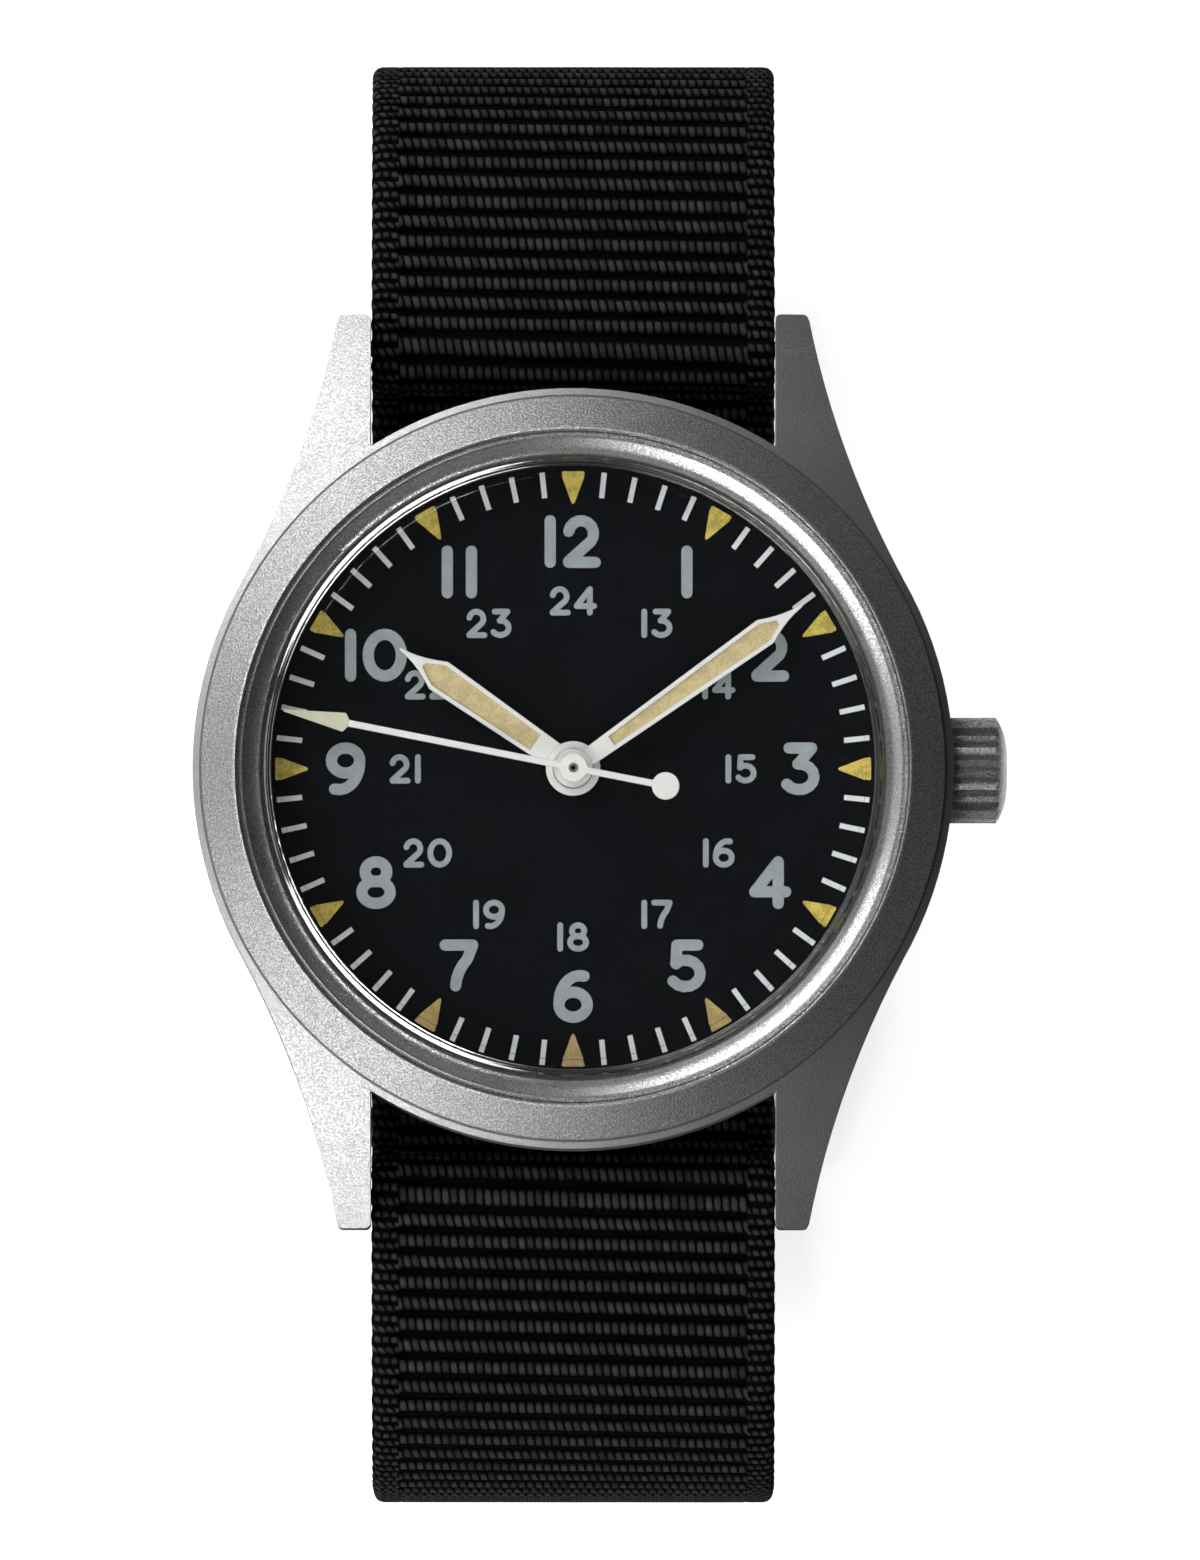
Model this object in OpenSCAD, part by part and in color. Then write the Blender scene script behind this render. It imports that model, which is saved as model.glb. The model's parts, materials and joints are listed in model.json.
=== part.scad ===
// Military field watch on a one-piece nylon strap, buckled as worn.
// Dial faces +Z, 12 o'clock lies toward +Y and the crown toward +X.
// The origin is on the axis of the hands, on the surface that the buckled strap rests on.

/* [Case] */
// Radius of the round case body
case_r = 17; // [16.6:0.1:18]
// Height of the case body above the back's outer face
case_top = 7; // [6.8:0.1:7.6]
// Height of the bezel's ridge above its seat
bezel_rise = 1.7; // [1.5:0.1:2.2]
// Width of the case rim left outside the bezel
rim_w = 0.4; // [0.3:0.05:0.6]
// Play between the strap and the two lugs of a pair
lug_play = 0.1; // [0.05:0.05:0.3]
// Radius of the dome that the lugs' tops belong to
lug_dome_r = 40; // [36:1:48]
// Distance from the centre to the lug tips along the strap
lug_reach = 20.45; // [20.3:0.05:21]
// Radius of the hollow flank that blends lug and case
flank_r = 41; // [36:1:44]
// Direction in which the flank leaves the round case
flank_angle = 28.8; // [28:0.2:30]
// Thickness of the case back
back_t = 1; // [0.8:0.05:1.1]
// Width of the case's underside left outside its back
back_inset = 1.8; // [1.7:0.05:2]

/* [Crystal] */
// Width of the bezel, from its seam with the case to the crystal
bezel_w = 2.65; // [2.6:0.05:2.8]
// Wall and roof thickness of the crystal
crystal_t = 0.6; // [0.5:0.05:0.8]
// Rise of the crystal's dome at its middle
dome_rise = 0.9; // [0.7:0.05:1.2]

/* [Dial] */
// Distance from the crystal's edge in to the dial's edge
dial_inset = 0.35; // [0.3:0.01:0.4]
// Thickness of the dial
dial_t = 0.4; // [0.3:0.05:0.45]
// Distance from the dial's edge in to the minute track
track_inset = 0.45; // [0.3:0.05:0.7]
// Length of a minute tick
tick_l = 1; // [0.8:0.05:1.2]
// Width of a minute tick
tick_w = 0.235; // [0.18:0.01:0.3]
// Height of an hour triangle
marker_h = 1.34; // [1.1:0.02:1.5]
// Base width of an hour triangle
marker_w = 1.03; // [0.8:0.02:1.2]
// Distance from the minute track's edge in to the middle of the hour numerals
numeral_inset = 3; // [2.75:0.05:3.25]
// Height of the hour numerals
numeral_h = 2.36; // [2:0.04:2.6]
// Stroke of the hour numerals
numeral_w = 0.5; // [0.36:0.02:0.54]
// Distance from the hour numerals in to the 13 to 24 numerals
small_inset = 2.65; // [2.5:0.05:2.8]
// Height of the 13 to 24 numerals
small_h = 1.31; // [1.1:0.03:1.45]
// Stroke of the 13 to 24 numerals
small_w = 0.26; // [0.2:0.01:0.3]
// Thickness of printed and luminous paint
paint_t = 0.03; // [0.02:0.01:0.05]

/* [Hands] */
// Time shown by the hour hand, in degrees after 12
hour_angle = 304.7; // [300:0.1:330]
// Time shown by the minute hand, in degrees after 12
minute_angle = 54.6; // [40:0.1:70]
// Time shown by the second hand, in degrees after 12
second_angle = 281.2; // [270:0.1:290]
// Distance from the dial's edge in to the tip of the hour hand
hour_inset = 4.2; // [3.8:0.1:4.8]
// Distance from the dial's edge in to the tip of the minute hand
minute_inset = 1.1; // [0.8:0.1:1.6]
// Distance from the dial's edge in to the tip of the second hand
second_inset = 0.5; // [0.4:0.1:1]
// Thickness of a hand
hand_t = 0.15; // [0.12:0.01:0.2]
// Metal border round the luminous filling of a hand
hand_border = 0.2; // [0.15:0.01:0.24]

/* [Crown] */
// Diameter of the crown
crown_d = 4.73; // [4.4:0.05:4.8]
// Distance that the crown stands out from the case
crown_out = 2.4; // [2.2:0.1:2.8]
// Number of flutes on the crown
flutes = 24; // [18:1:26]
// Travel of the crown when it is pulled out
crown_pull = 0.9; // [0.8:0.05:0.95]
// Diameter of the winding stem
stem_d = 1; // [0.9:0.05:1.1]

/* [Movement] */
// Width of the ring between the dial's edge and the movement
ring_w = 0.8; // [0.6:0.05:1]
// Thickness of the main plate
plate_t = 1.7; // [1.6:0.05:1.75]
// Thickness of the bridges
bridge_t = 0.8; // [0.7:0.05:0.85]
// Radius of a pivot
pivot_r = 0.12; // [0.1:0.01:0.14]
// Distance between the centre and third arbors
third_distance = 5.2; // [5.1:0.05:5.3]
// Direction of the third wheel from the centre
third_angle = 150; // [145:1:155]
// Distance between the centre and escape arbors
escape_distance = 5.25; // [5.2:0.05:5.3]
// Direction of the escape wheel from the centre
escape_angle = -120; // [-122:1:-118]
// Distance between the centre and the balance staff
balance_distance = 8.9; // [8.85:0.05:9]
// Direction of the balance from the centre
balance_angle = -75; // [-76:1:-74]
// Radius of the balance rim
balance_r = 3.5; // [3.2:0.05:3.6]
// Distance between the centre and the barrel arbor
barrel_distance = 5.85; // [5.8:0.05:5.9]
// Direction of the barrel from the centre
barrel_angle = 60; // [59:1:61]

/* [Strap] */
// Width of the webbing
web_w = 18; // [17.4:0.1:18]
// Thickness of the webbing
web_t = 1; // [0.9:0.05:1]
// Radius of a spring bar
bar_r = 0.7; // [0.6:0.05:0.75]
// Distance from the lug tips in to a spring bar
bar_inset = 1.45; // [1.4:0.05:1.5]
// Half the width of the buckled strap as worn
loop_half = 32.2; // [31:0.2:34]
// Slope of the strap where it leaves the lugs
leave_angle = 22; // [18:1:26]
// Straight part of the strap beyond the lugs
leave_l = 6.5; // [5.5:0.5:7.5]
// Straight part at the side of the wrist
side_l = 11; // [9:0.5:13]
// Radius of the strap under the side of the wrist
under_r = 15; // [13:0.5:16]
// Pitch of the holes in the strap
hole_pitch = 7; // [6:0.5:8]
// Width of a keeper along the strap
keeper_w = 4; // [3:0.25:4]
// Wall of a keeper
keeper_t = 0.9; // [0.7:0.05:1]

/* [Buckle] */
// Diameter of the buckle bar
pin_d = 1; // [0.8:0.05:1.1]
// Position of the buckle bar along the flat of the strap
pin_y = -6.2; // [-6.6:0.1:-5.8]
// Length of the buckle frame in front of its bar
frame_l = 9.4; // [9:0.1:10]
// Thickness of the buckle frame's front bar
frame_t = 1.6; // [1.5:0.05:1.8]
// Width of the buckle frame's arms
arm_w = 1.6; // [1.4:0.1:2]

/* [Hidden] */
$fn = 96;

// Radii that follow from the case
lug_gap = web_w + lug_play;
back_r = case_r - back_inset;
crystal_r = case_r - rim_w - bezel_w;
dial_r = crystal_r - dial_inset;
track_r = dial_r - track_inset;
numeral_r = track_r - numeral_inset;
small_r = numeral_r - small_inset;
hour_l = dial_r - hour_inset;
minute_l = dial_r - minute_inset;
second_l = dial_r - second_inset;
move_r = dial_r - ring_w;

// Size of the movement against the one that the distances in its section are given for
design_r = 12.8;
calibre = move_r / design_r;

// Clearances
gap = 0.1;
fit = 0.03;
eps = 0.01;

// Strap levels, measured up from the surface that the strap rests on
tail_z = keeper_t + gap + web_t / 2;
strand_z = tail_z + web_t + gap;
entry_z = frame_t + gap + web_t / 2;
fold_r = pin_d / 2 + 0.05 + web_t / 2;
pin_z = strand_z + fold_r;

// Strap path beside the lugs and round the wrist
bar_fold_r = bar_r + 0.15 + web_t / 2;
bar_y = lug_reach - bar_inset;
bar_z = 1.6;
under_gap = 0.1;
dip_r = 1.2;
dip_y = bar_y - bar_fold_r - dip_r;
lift = bar_z + under_gap + web_t / 2 - dip_r;
leave_y = bar_y + bar_fold_r * sin(leave_angle) + leave_l * cos(leave_angle);
shoulder_r = (loop_half - web_t / 2 - leave_y) / (1 - sin(leave_angle));
drop = shoulder_r * cos(leave_angle) + leave_l * sin(leave_angle)
    - bar_fold_r * cos(leave_angle) + side_l + under_r;
flat_y = loop_half - web_t / 2 - under_r;

// Height of the case back's outer face
case_z = strand_z + drop - bar_z;

// Heights inside the case, measured up from the back's outer face
seat_z = 0.5;
skirt_z = 1.9;
bridge_z = 1.7;
plate_top = bridge_z + bridge_t + 1.4 + plate_t;
plate_z = plate_top - plate_t;
bridge_top = bridge_z + bridge_t;
dial_top = plate_top + dial_t;
hour_z = dial_top + 0.45;
minute_z = hour_z + hand_t + 0.35;
second_z = minute_z + hand_t + 0.35;
stem_z = bridge_z + 2.5;

// Mid case
bottom_r = case_r - 1.6;
flank_z = 3;
bore_r = dial_r + gap;
ledge_r = dial_r - gap;
ledge_z = dial_top + 0.05;
gasket_z = ledge_z + 0.65;
crystal_seat_r = crystal_r + 0.05;
skirt_r = back_r - 0.85;
skirt_t = 0.45;
seam_t = 0.1;
seam_w = seam_t / tan(25);
lug_in = lug_gap / 2;
lug_tip_r = 0.25;
lug_root_y = 0.735 * case_r;
lug_dome_z = case_top - sqrt(lug_dome_r * lug_dome_r - pow(case_r - rim_w, 2));
lug_tip_z = 0.1;
bar_hole_r = 0.4;
bar_hole_l = 0.8;

// Bezel
bezel_r = case_r - rim_w;
ridge_r = bezel_r - 1.5;
groove = 0.18;
bezel_in = crystal_r + 0.05;
bezel_skirt = 0.3;

// Crown and keyless works
crown_r = crown_d / 2;
tube_r = 1.1;
crown_gap = 0.05;
crown_in = 0.25;
crown_dome = 0.51;
crown_x = case_r - crown_in;
crown_l = crown_out + crown_in;
recess_r = tube_r + gap;
recess_l = 0.35;
pinion_x = 10.2 * calibre;
pinion_l = 1;
pinion_r = 1.2;
clutch_x = 8.9 * calibre;
clutch_l = 1.2;
clutch_travel = 0.6 * crown_pull;
lever_x = 11.6 * calibre;
lever_y = 2.3 * calibre;
groove_x = lever_x;
yoke_x = 9.25 * calibre;
yoke_y = -3.4 * calibre;

// Wheel train
center_teeth = 64;
third_leaves = 8;
third_teeth = 60;
second_leaves = 8;
second_teeth = 70;
escape_leaves = 7;
escape_teeth = 15;
barrel_teeth = 80;
center_leaves = 10;
cannon_teeth = 12;
minute_teeth = 36;
minute_leaves = 10;
hour_teeth = 40;
setting_teeth = 20;
ratchet_teeth = 50;
crown_teeth = 30;
m_center = 2 * calibre * third_distance / (center_teeth + third_leaves);
m_third = 2 * calibre * third_distance / (third_teeth + second_leaves);
m_escape = 2 * calibre * escape_distance / (second_teeth + escape_leaves);
m_barrel = 2 * calibre * barrel_distance / (barrel_teeth + center_leaves);
m_motion = 0.13 * calibre;
motion_distance = m_motion * (cannon_teeth + minute_teeth) / 2;
m_hour = 2 * motion_distance / (minute_leaves + hour_teeth);
m_ratchet = 0.2 * calibre;
setting_x = motion_distance + m_motion * (minute_teeth + setting_teeth) / 2;
seconds_r = 0.2;
center_bore = seconds_r + fit;
center_r = 0.4;
cannon_r = 0.62;
hour_in = cannon_r + 0.04;
hour_r = 0.9;

function polar(r, a) = [r * cos(a), r * sin(a)];
flank_at = polar(case_r + flank_r, flank_angle);
lug_tip_x = flank_at[0] - sqrt(pow(flank_r, 2) - pow(flank_at[1] - lug_reach + lug_tip_r, 2)) - fit;
third_at = polar(third_distance * calibre, third_angle);
escape_at = polar(escape_distance * calibre, escape_angle);
balance_at = polar(balance_distance * calibre, balance_angle);
barrel_at = polar(barrel_distance * calibre, barrel_angle);
crown_wheel_r = m_ratchet * crown_teeth / 2;
ratchet_r = m_ratchet * ratchet_teeth / 2;
crown_wheel_at = [barrel_at[0] + sqrt(pow(crown_wheel_r + ratchet_r, 2) - pow(barrel_at[1], 2)), 0];
minute_at = [motion_distance, 0];
setting_at = [setting_x, 0];
fork_reach = 2.75 * calibre;
fork_way = (balance_at - escape_at) / norm(balance_at - escape_at);
fork_at = escape_at + fork_reach * fork_way;
fork_angle = atan2(fork_way[1], fork_way[0]);
roller_r = 0.45;
click_at = polar(10.6 * calibre, 112);

// Heights of the wheels, from the back's outer face
second_wheel_z = bridge_top + 0.1;
third_wheel_z = second_wheel_z + 0.3;
center_wheel_z = third_wheel_z + 0.3;
barrel_gear_z = center_wheel_z + 0.32;
wheel_t = 0.15;
barrel_h = 1.1;
ratchet_z = bridge_z - 0.4;
ratchet_t = 0.3;
motion_z = plate_top - 0.75;

// Plates, screws and jewels
bridge_r = move_r - 0.2;
foot_in = move_r - 1.5;
foot_out = bridge_r - 0.05;
foot_at = [8.2, -7.6] * calibre;
screw_r = 0.35;
screw_depth = 1;
screw_circle = (bridge_r + foot_in) / 2;
screw_places = concat([for (a = [25, 60, 95, 160, 190, 225]) polar(screw_circle, a)], [foot_at]);
jewel_r = 0.5;
hub_r = 1.6;
drum_r = m_barrel * barrel_teeth / 2 - 0.3;
barrel_core_r = 0.95;
balance_well_r = 2.9;
barrel_foot = [18, 102];
train_foot = [150, 235];

// Turn of wheel b that puts it in mesh with wheel a, which lies in the opposite direction of way
function mesh(turn_a, teeth_a, way, teeth_b) =
    way + 180 + (0.5 - (turn_a - way) * teeth_a / 360) * 360 / teeth_b;
third_leaf_turn = mesh(0, center_teeth, third_angle, third_leaves);
second_leaf_turn = mesh(0, third_teeth, third_angle + 180, second_leaves);
escape_leaf_turn = mesh(0, second_teeth, escape_angle, escape_leaves);
barrel_turn = mesh(0, center_leaves, barrel_angle, barrel_teeth);
ratchet_way = atan2(barrel_at[1] - crown_wheel_at[1], barrel_at[0] - crown_wheel_at[0]);
ratchet_turn = mesh(0, crown_teeth, ratchet_way, ratchet_teeth);

// Tooth proportions, in modules
tooth_add = 0.7;
tooth_ded = 1.1;
tooth_tip = 0.5;
tooth_root = 1.5;

// Corners of a wheel with straight-sided teeth, the first tooth pointing along X
function tooth_at(r, w, a) = [r * cos(a) - w * sin(a), r * sin(a) + w * cos(a)];
function gear_points(teeth, m) = [
    for (i = [0 : teeth - 1])
        for (k = [[-tooth_ded, -tooth_root], [tooth_add, -tooth_tip], [tooth_add, tooth_tip],
                [-tooth_ded, tooth_root]])
            tooth_at(teeth * m / 2 + k[0] * m, k[1] * m / 2, i * 360 / teeth)
];

module gear(teeth, m, t) {
    linear_extrude(t) polygon(gear_points(teeth, m));
}

// A disc with a round hole
module washer(r_out, r_in, t) {
    difference() {
        cylinder(r = r_out, h = t);
        translate([0, 0, -1]) cylinder(r = r_in, h = t + 2);
    }
}

// A ring turned from a profile of [radius, height] corners
module turned(points) {
    rotate_extrude() polygon(points);
}

// Lifts what belongs to the watch head to the height of the case
module head() {
    translate([0, 0, case_z]) children();
}

module at(place, z) {
    translate([place[0], place[1], z]) children();
}

// Both lug sides or both ends of the strap
module both_x() {
    children();
    mirror([1, 0, 0]) children();
}

module both_y() {
    children();
    mirror([0, 1, 0]) children();
}

// Case

// Outline of one lug seen from the dial, its flank hollow and tangent to the round case
module lug_outline() {
    difference() {
        union() {
            translate([lug_in, 0]) square([case_r, lug_reach - lug_tip_r]);
            translate([lug_in + lug_tip_r, 0]) square([lug_tip_x - lug_in - 2 * lug_tip_r, lug_reach]);
            for (x = [lug_in + lug_tip_r, lug_tip_x - lug_tip_r])
                translate([x, lug_reach - lug_tip_r]) circle(r = lug_tip_r);
        }
        translate(flank_at) circle(r = flank_r);
    }
}

// Side of a lug, its underside falling from the case to the tip
module lug_side() {
    polygon([
        [case_r / 2, flank_z], [lug_root_y, seat_z], [case_r - 1, seat_z], [lug_reach - 1.2, lug_tip_z],
        [lug_reach + 1, lug_tip_z], [lug_reach + 1, case_top], [case_r / 2, case_top]
    ]);
}

module lug() {
    intersection() {
        linear_extrude(case_top) lug_outline();
        rotate([90, 0, 90]) linear_extrude(2 * case_r) lug_side();
    }
}

// The rim falls away from the bezel in a small bevel, which shows as a thin line round it
module mid_case() {
    color([0.55, 0.56, 0.56]) head() difference() {
        intersection() {
            union() {
                turned([
                    [skirt_r - 1, seat_z], [bottom_r, seat_z], [case_r, flank_z], [case_r, case_top],
                    [skirt_r - 1, case_top]
                ]);
                both_x() both_y() lug();
            }
            translate([0, 0, lug_dome_z]) sphere(r = lug_dome_r);
        }
        translate([0, 0, -1]) cylinder(r = back_r + fit, h = back_t + 1);
        cylinder(r = back_r - 0.1, h = back_t + 0.3);
        cylinder(r = skirt_r + fit, h = skirt_z + 0.1);
        cylinder(r = bore_r, h = ledge_z);
        cylinder(r = ledge_r, h = case_top + 1);
        translate([0, 0, gasket_z]) cylinder(r = crystal_seat_r, h = case_top);
        turned([
            [bezel_r - 0.02, case_top - seam_t], [bezel_r, case_top - seam_t],
            [bezel_r + 2 * seam_w, case_top + seam_t], [bezel_r - 0.02, case_top + seam_t]
        ]);
        translate([crown_x - crown_gap, 0, stem_z]) rotate([0, 90, 0]) cylinder(r = crown_r + gap, h = case_r);
        translate([0, 0, stem_z]) rotate([0, 90, 0]) cylinder(r = tube_r, h = case_r + 5);
        both_x() both_y() translate([lug_in - 1, bar_y, bar_z]) rotate([0, 90, 0])
            cylinder(r = bar_hole_r, h = bar_hole_l + 1);
    }
}

module bezel() {
    z = case_top;
    h = bezel_rise;
    color([0.6, 0.61, 0.61]) head() turned([
        [bezel_in, z], [bezel_r, z], [bezel_r, z + bezel_skirt], [ridge_r + 0.1, z + h - 0.04],
        [ridge_r, z + h], [ridge_r - 0.04, z + h - groove], [ridge_r - 0.14, z + h - groove],
        [ridge_r - 0.3, z + h - 0.03], [ridge_r - 0.4, z + h - 0.06], [bezel_in + 0.05, z + h - 0.45],
        [bezel_in, z + h - 0.5]
    ]);
}

// Acrylic crystal, a cup turned over with a domed roof
module crystal() {
    foot = gasket_z + 0.2;
    edge = case_top + bezel_rise - 0.35;
    round_r = 0.5;
    shoulder = crystal_r - round_r;
    dome = (shoulder * shoulder + dome_rise * dome_rise) / (2 * dome_rise);
    inner_r = crystal_r - crystal_t;
    color([0.85, 0.9, 0.92, 0.3]) head() rotate_extrude() difference() {
        union() {
            translate([0, foot]) square([crystal_r, edge - foot]);
            translate([0, foot]) square([shoulder, edge + round_r - foot]);
            translate([shoulder, edge]) circle(r = round_r);
            intersection() {
                translate([0, edge + round_r + dome_rise - dome]) circle(r = dome, $fn = 360);
                translate([0, edge + round_r]) square([shoulder, 2 * dome_rise]);
            }
        }
        translate([-1, foot - 1]) square([inner_r + 1, edge - 0.3 - foot + 1]);
        translate([-1, foot]) square([inner_r - 0.3 + 1, edge - foot]);
        intersection() {
            translate([0, edge + dome_rise - dome]) circle(r = dome, $fn = 360);
            translate([-1, edge]) square([inner_r - 0.3 + 1, 2 * dome_rise]);
        }
        translate([-2 * dome, -dome]) square([2 * dome, 3 * dome]);
    }
}

module crystal_gasket() {
    color([0.1, 0.1, 0.1]) head() translate([0, 0, gasket_z])
        washer(crystal_r, crystal_r - 0.4, 0.2);
}

module case_back() {
    color([0.5, 0.51, 0.52]) head() difference() {
        turned([
            [0, 0.15], [back_r - 4, 0.15], [back_r - 3.8, 0], [back_r - 0.5, 0], [back_r, 0.35],
            [back_r, back_t], [skirt_r, back_t], [skirt_r, skirt_z], [skirt_r - skirt_t, skirt_z],
            [skirt_r - skirt_t, back_t], [0, back_t]
        ]);
        for (i = [0 : 5]) rotate(i * 60 + 30) translate([back_r - 1.6, -0.7, -1])
            cube([3, 1.4, 1.3]);
    }
}

module case_back_gasket() {
    color([0.12, 0.12, 0.12]) head() translate([0, 0, back_t])
        washer(back_r - 0.15, skirt_r + 0.05, 0.25);
}

// Crown and keyless works

module crown_tube() {
    color([0.62, 0.62, 0.6]) head() translate([bore_r, 0, stem_z]) rotate([0, 90, 0])
        washer(tube_r, stem_d / 2 + 0.05, crown_x + crown_gap - bore_r);
}

// Knob with pointed flutes and a domed end, bored from behind for the tube and the gasket
module crown() {
    flute_w = 1.28 * PI * crown_r / flutes;
    dome = [for (k = [1, 0.93, 0.85, 0.76, 0.66, 0.52, 0.35]) [crown_r * k, crown_l - crown_dome * pow(k, 3.2)]];
    color([0.6, 0.61, 0.61]) head() translate([crown_x, 0, stem_z]) rotate([0, 90, 0]) difference() {
        turned(concat(
            [[0, recess_l], [recess_r, recess_l], [recess_r, 0], [crown_r - 0.1, 0], [crown_r, 0.1]],
            dome, [[0, crown_l]]
        ));
        for (i = [0 : flutes - 1]) rotate(i * 360 / flutes) translate([crown_r, 0, -1]) rotate(45)
            translate([-flute_w / 2, -flute_w / 2, 0]) cube([flute_w, flute_w, crown_l + 0.7]);
    }
}

module crown_gasket() {
    color([0.1, 0.1, 0.1]) head() translate([crown_x + 2 * crown_gap, 0, stem_z]) rotate([0, 90, 0])
        washer(recess_r, stem_d / 2, recess_l - 2 * crown_gap);
}

// Stem with a square for the clutch, a groove for the setting lever and a pilot
module stem() {
    r = stem_d / 2;
    square_w = r * 1.1;
    color([0.7, 0.7, 0.72]) head() translate([0, 0, stem_z]) rotate([0, 90, 0]) {
        translate([0, 0, clutch_x - 1.5]) cylinder(r = r * 0.5, h = 0.8);
        translate([-square_w / 2, -square_w / 2, clutch_x - 0.75])
            cube([square_w, square_w, clutch_l + 1]);
        translate([0, 0, clutch_x + clutch_l + 0.2]) cylinder(r = r * 0.8, h = groove_x - clutch_x - clutch_l - 0.5);
        translate([0, 0, groove_x - 0.35]) cylinder(r = r * 0.6, h = 0.7);
        translate([0, 0, groove_x + 0.3]) cylinder(r = r, h = crown_x + recess_l - groove_x - 0.3);
    }
}

// Pinion that drives the crown wheel, free on the stem
module winding_pinion() {
    color([0.75, 0.76, 0.78]) head() translate([pinion_x, 0, stem_z]) rotate([0, 90, 0]) difference() {
        rotate(180 / 12) gear(12, pinion_r / 6.8, pinion_l);
        translate([0, 0, -1]) cylinder(r = stem_d * 0.4 + 0.05, h = pinion_l + 2);
    }
}

// Sliding clutch with a groove for the yoke and a square hole on the stem
module clutch() {
    w = stem_d * 0.55 + 0.1;
    r = pinion_r - 0.2;
    color([0.75, 0.76, 0.78]) head() translate([clutch_x, 0, stem_z]) rotate([0, 90, 0]) difference() {
        turned([[0, 0], [r, 0], [r, 0.4], [r - 0.3, 0.4], [r - 0.3, 0.8], [r, 0.8], [r, clutch_l], [0, clutch_l]]);
        translate([-w / 2, -w / 2, -1]) cube([w, w, clutch_l + 2]);
        for (i = [0 : 5]) rotate(i * 60) translate([r - 0.25, -0.15, clutch_l - 0.15]) cube([1, 0.3, 1]);
    }
}

// Lever that follows the stem's groove, on the dial side of the plate
module setting_lever() {
    t = 0.2;
    z = plate_top - 0.3;
    color([0.78, 0.79, 0.8]) head() {
        translate([0, 0, z]) difference() {
            linear_extrude(t) union() {
                at([lever_x, lever_y], 0) circle(r = 0.6);
                polygon([
                    [lever_x - 0.45, lever_y], [groove_x - 0.22, 0], [groove_x + 0.22, 0],
                    [lever_x + 0.5, lever_y]
                ]);
                at([groove_x, 0], 0) circle(r = 0.22);
            }
            at([lever_x, lever_y], -1) cylinder(r = 0.3 + fit, h = 3);
        }
        at([groove_x, 0], stem_z + stem_d * 0.3 + 0.05)
            cylinder(r = 0.2, h = z - stem_z - stem_d * 0.3);
    }
}

// Yoke whose tongue moves the clutch along the stem
module yoke() {
    t = 0.2;
    z = plate_top - 0.3;
    tongue_x = clutch_x + 0.6;
    tongue_r = pinion_r - 0.5 + 0.05;
    color([0.78, 0.79, 0.8]) head() {
        translate([0, 0, z]) difference() {
            linear_extrude(t) union() {
                at([yoke_x, yoke_y], 0) circle(r = 0.6);
                polygon([
                    [yoke_x - 0.5, yoke_y], [tongue_x - 0.12, 0.1], [tongue_x + 0.12, 0.1],
                    [yoke_x + 0.4, yoke_y]
                ]);
            }
            at([yoke_x, yoke_y], -1) cylinder(r = 0.3 + fit, h = 3);
        }
        translate([tongue_x - 0.12, -0.15, stem_z + tongue_r])
            cube([0.24, 0.25, z - stem_z - tongue_r + 0.05]);
    }
}

// Dial side of the movement

module setting_wheel() {
    color([0.8, 0.7, 0.4]) head() at(setting_at, motion_z + 0.05) difference() {
        gear(setting_teeth, m_motion, wheel_t);
        translate([0, 0, -1]) cylinder(r = 0.3 + fit, h = 3);
    }
}

module center_wheel() {
    color([0.82, 0.7, 0.38]) head() difference() {
        union() {
            translate([0, 0, center_wheel_z]) gear(center_teeth, m_center, wheel_t);
            translate([0, 0, barrel_gear_z]) gear(center_leaves, m_barrel, 0.25);
            translate([0, 0, center_wheel_z]) cylinder(r = center_r, h = minute_z - center_wheel_z);
        }
        translate([0, 0, center_wheel_z - 1]) cylinder(r = center_bore, h = 10);
        for (i = [0 : 4]) rotate(i * 72 + 20) translate([center_teeth * m_center / 4 + 0.35, 0, center_wheel_z - 1])
            cylinder(r = 1.05, h = 1 + wheel_t + 0.05);
    }
}

module cannon_pinion() {
    color([0.7, 0.7, 0.72]) head() difference() {
        union() {
            translate([0, 0, motion_z + 0.05]) gear(cannon_teeth, m_motion, 0.3);
            translate([0, 0, motion_z + 0.05]) cylinder(r = cannon_r, h = minute_z - motion_z + hand_t);
        }
        translate([0, 0, motion_z - 1]) cylinder(r = center_r, h = 10);
    }
}

module minute_wheel() {
    color([0.82, 0.7, 0.38]) head() at(minute_at, motion_z + 0.05) difference() {
        union() {
            rotate(180 / minute_teeth) gear(minute_teeth, m_motion, wheel_t);
            translate([0, 0, wheel_t]) rotate(180 / minute_leaves)
                gear(minute_leaves, m_hour, 0.4);
        }
        translate([0, 0, -1]) cylinder(r = 0.25 + fit, h = 3);
    }
}

module hour_wheel() {
    z = motion_z + 0.4;
    color([0.82, 0.7, 0.38]) head() difference() {
        union() {
            translate([0, 0, z]) gear(hour_teeth, m_hour, wheel_t);
            translate([0, 0, z]) cylinder(r = hour_r, h = hour_z + hand_t - z);
        }
        translate([0, 0, z - 1]) cylinder(r = hour_in, h = 10);
    }
}

// Wheel train

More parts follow.
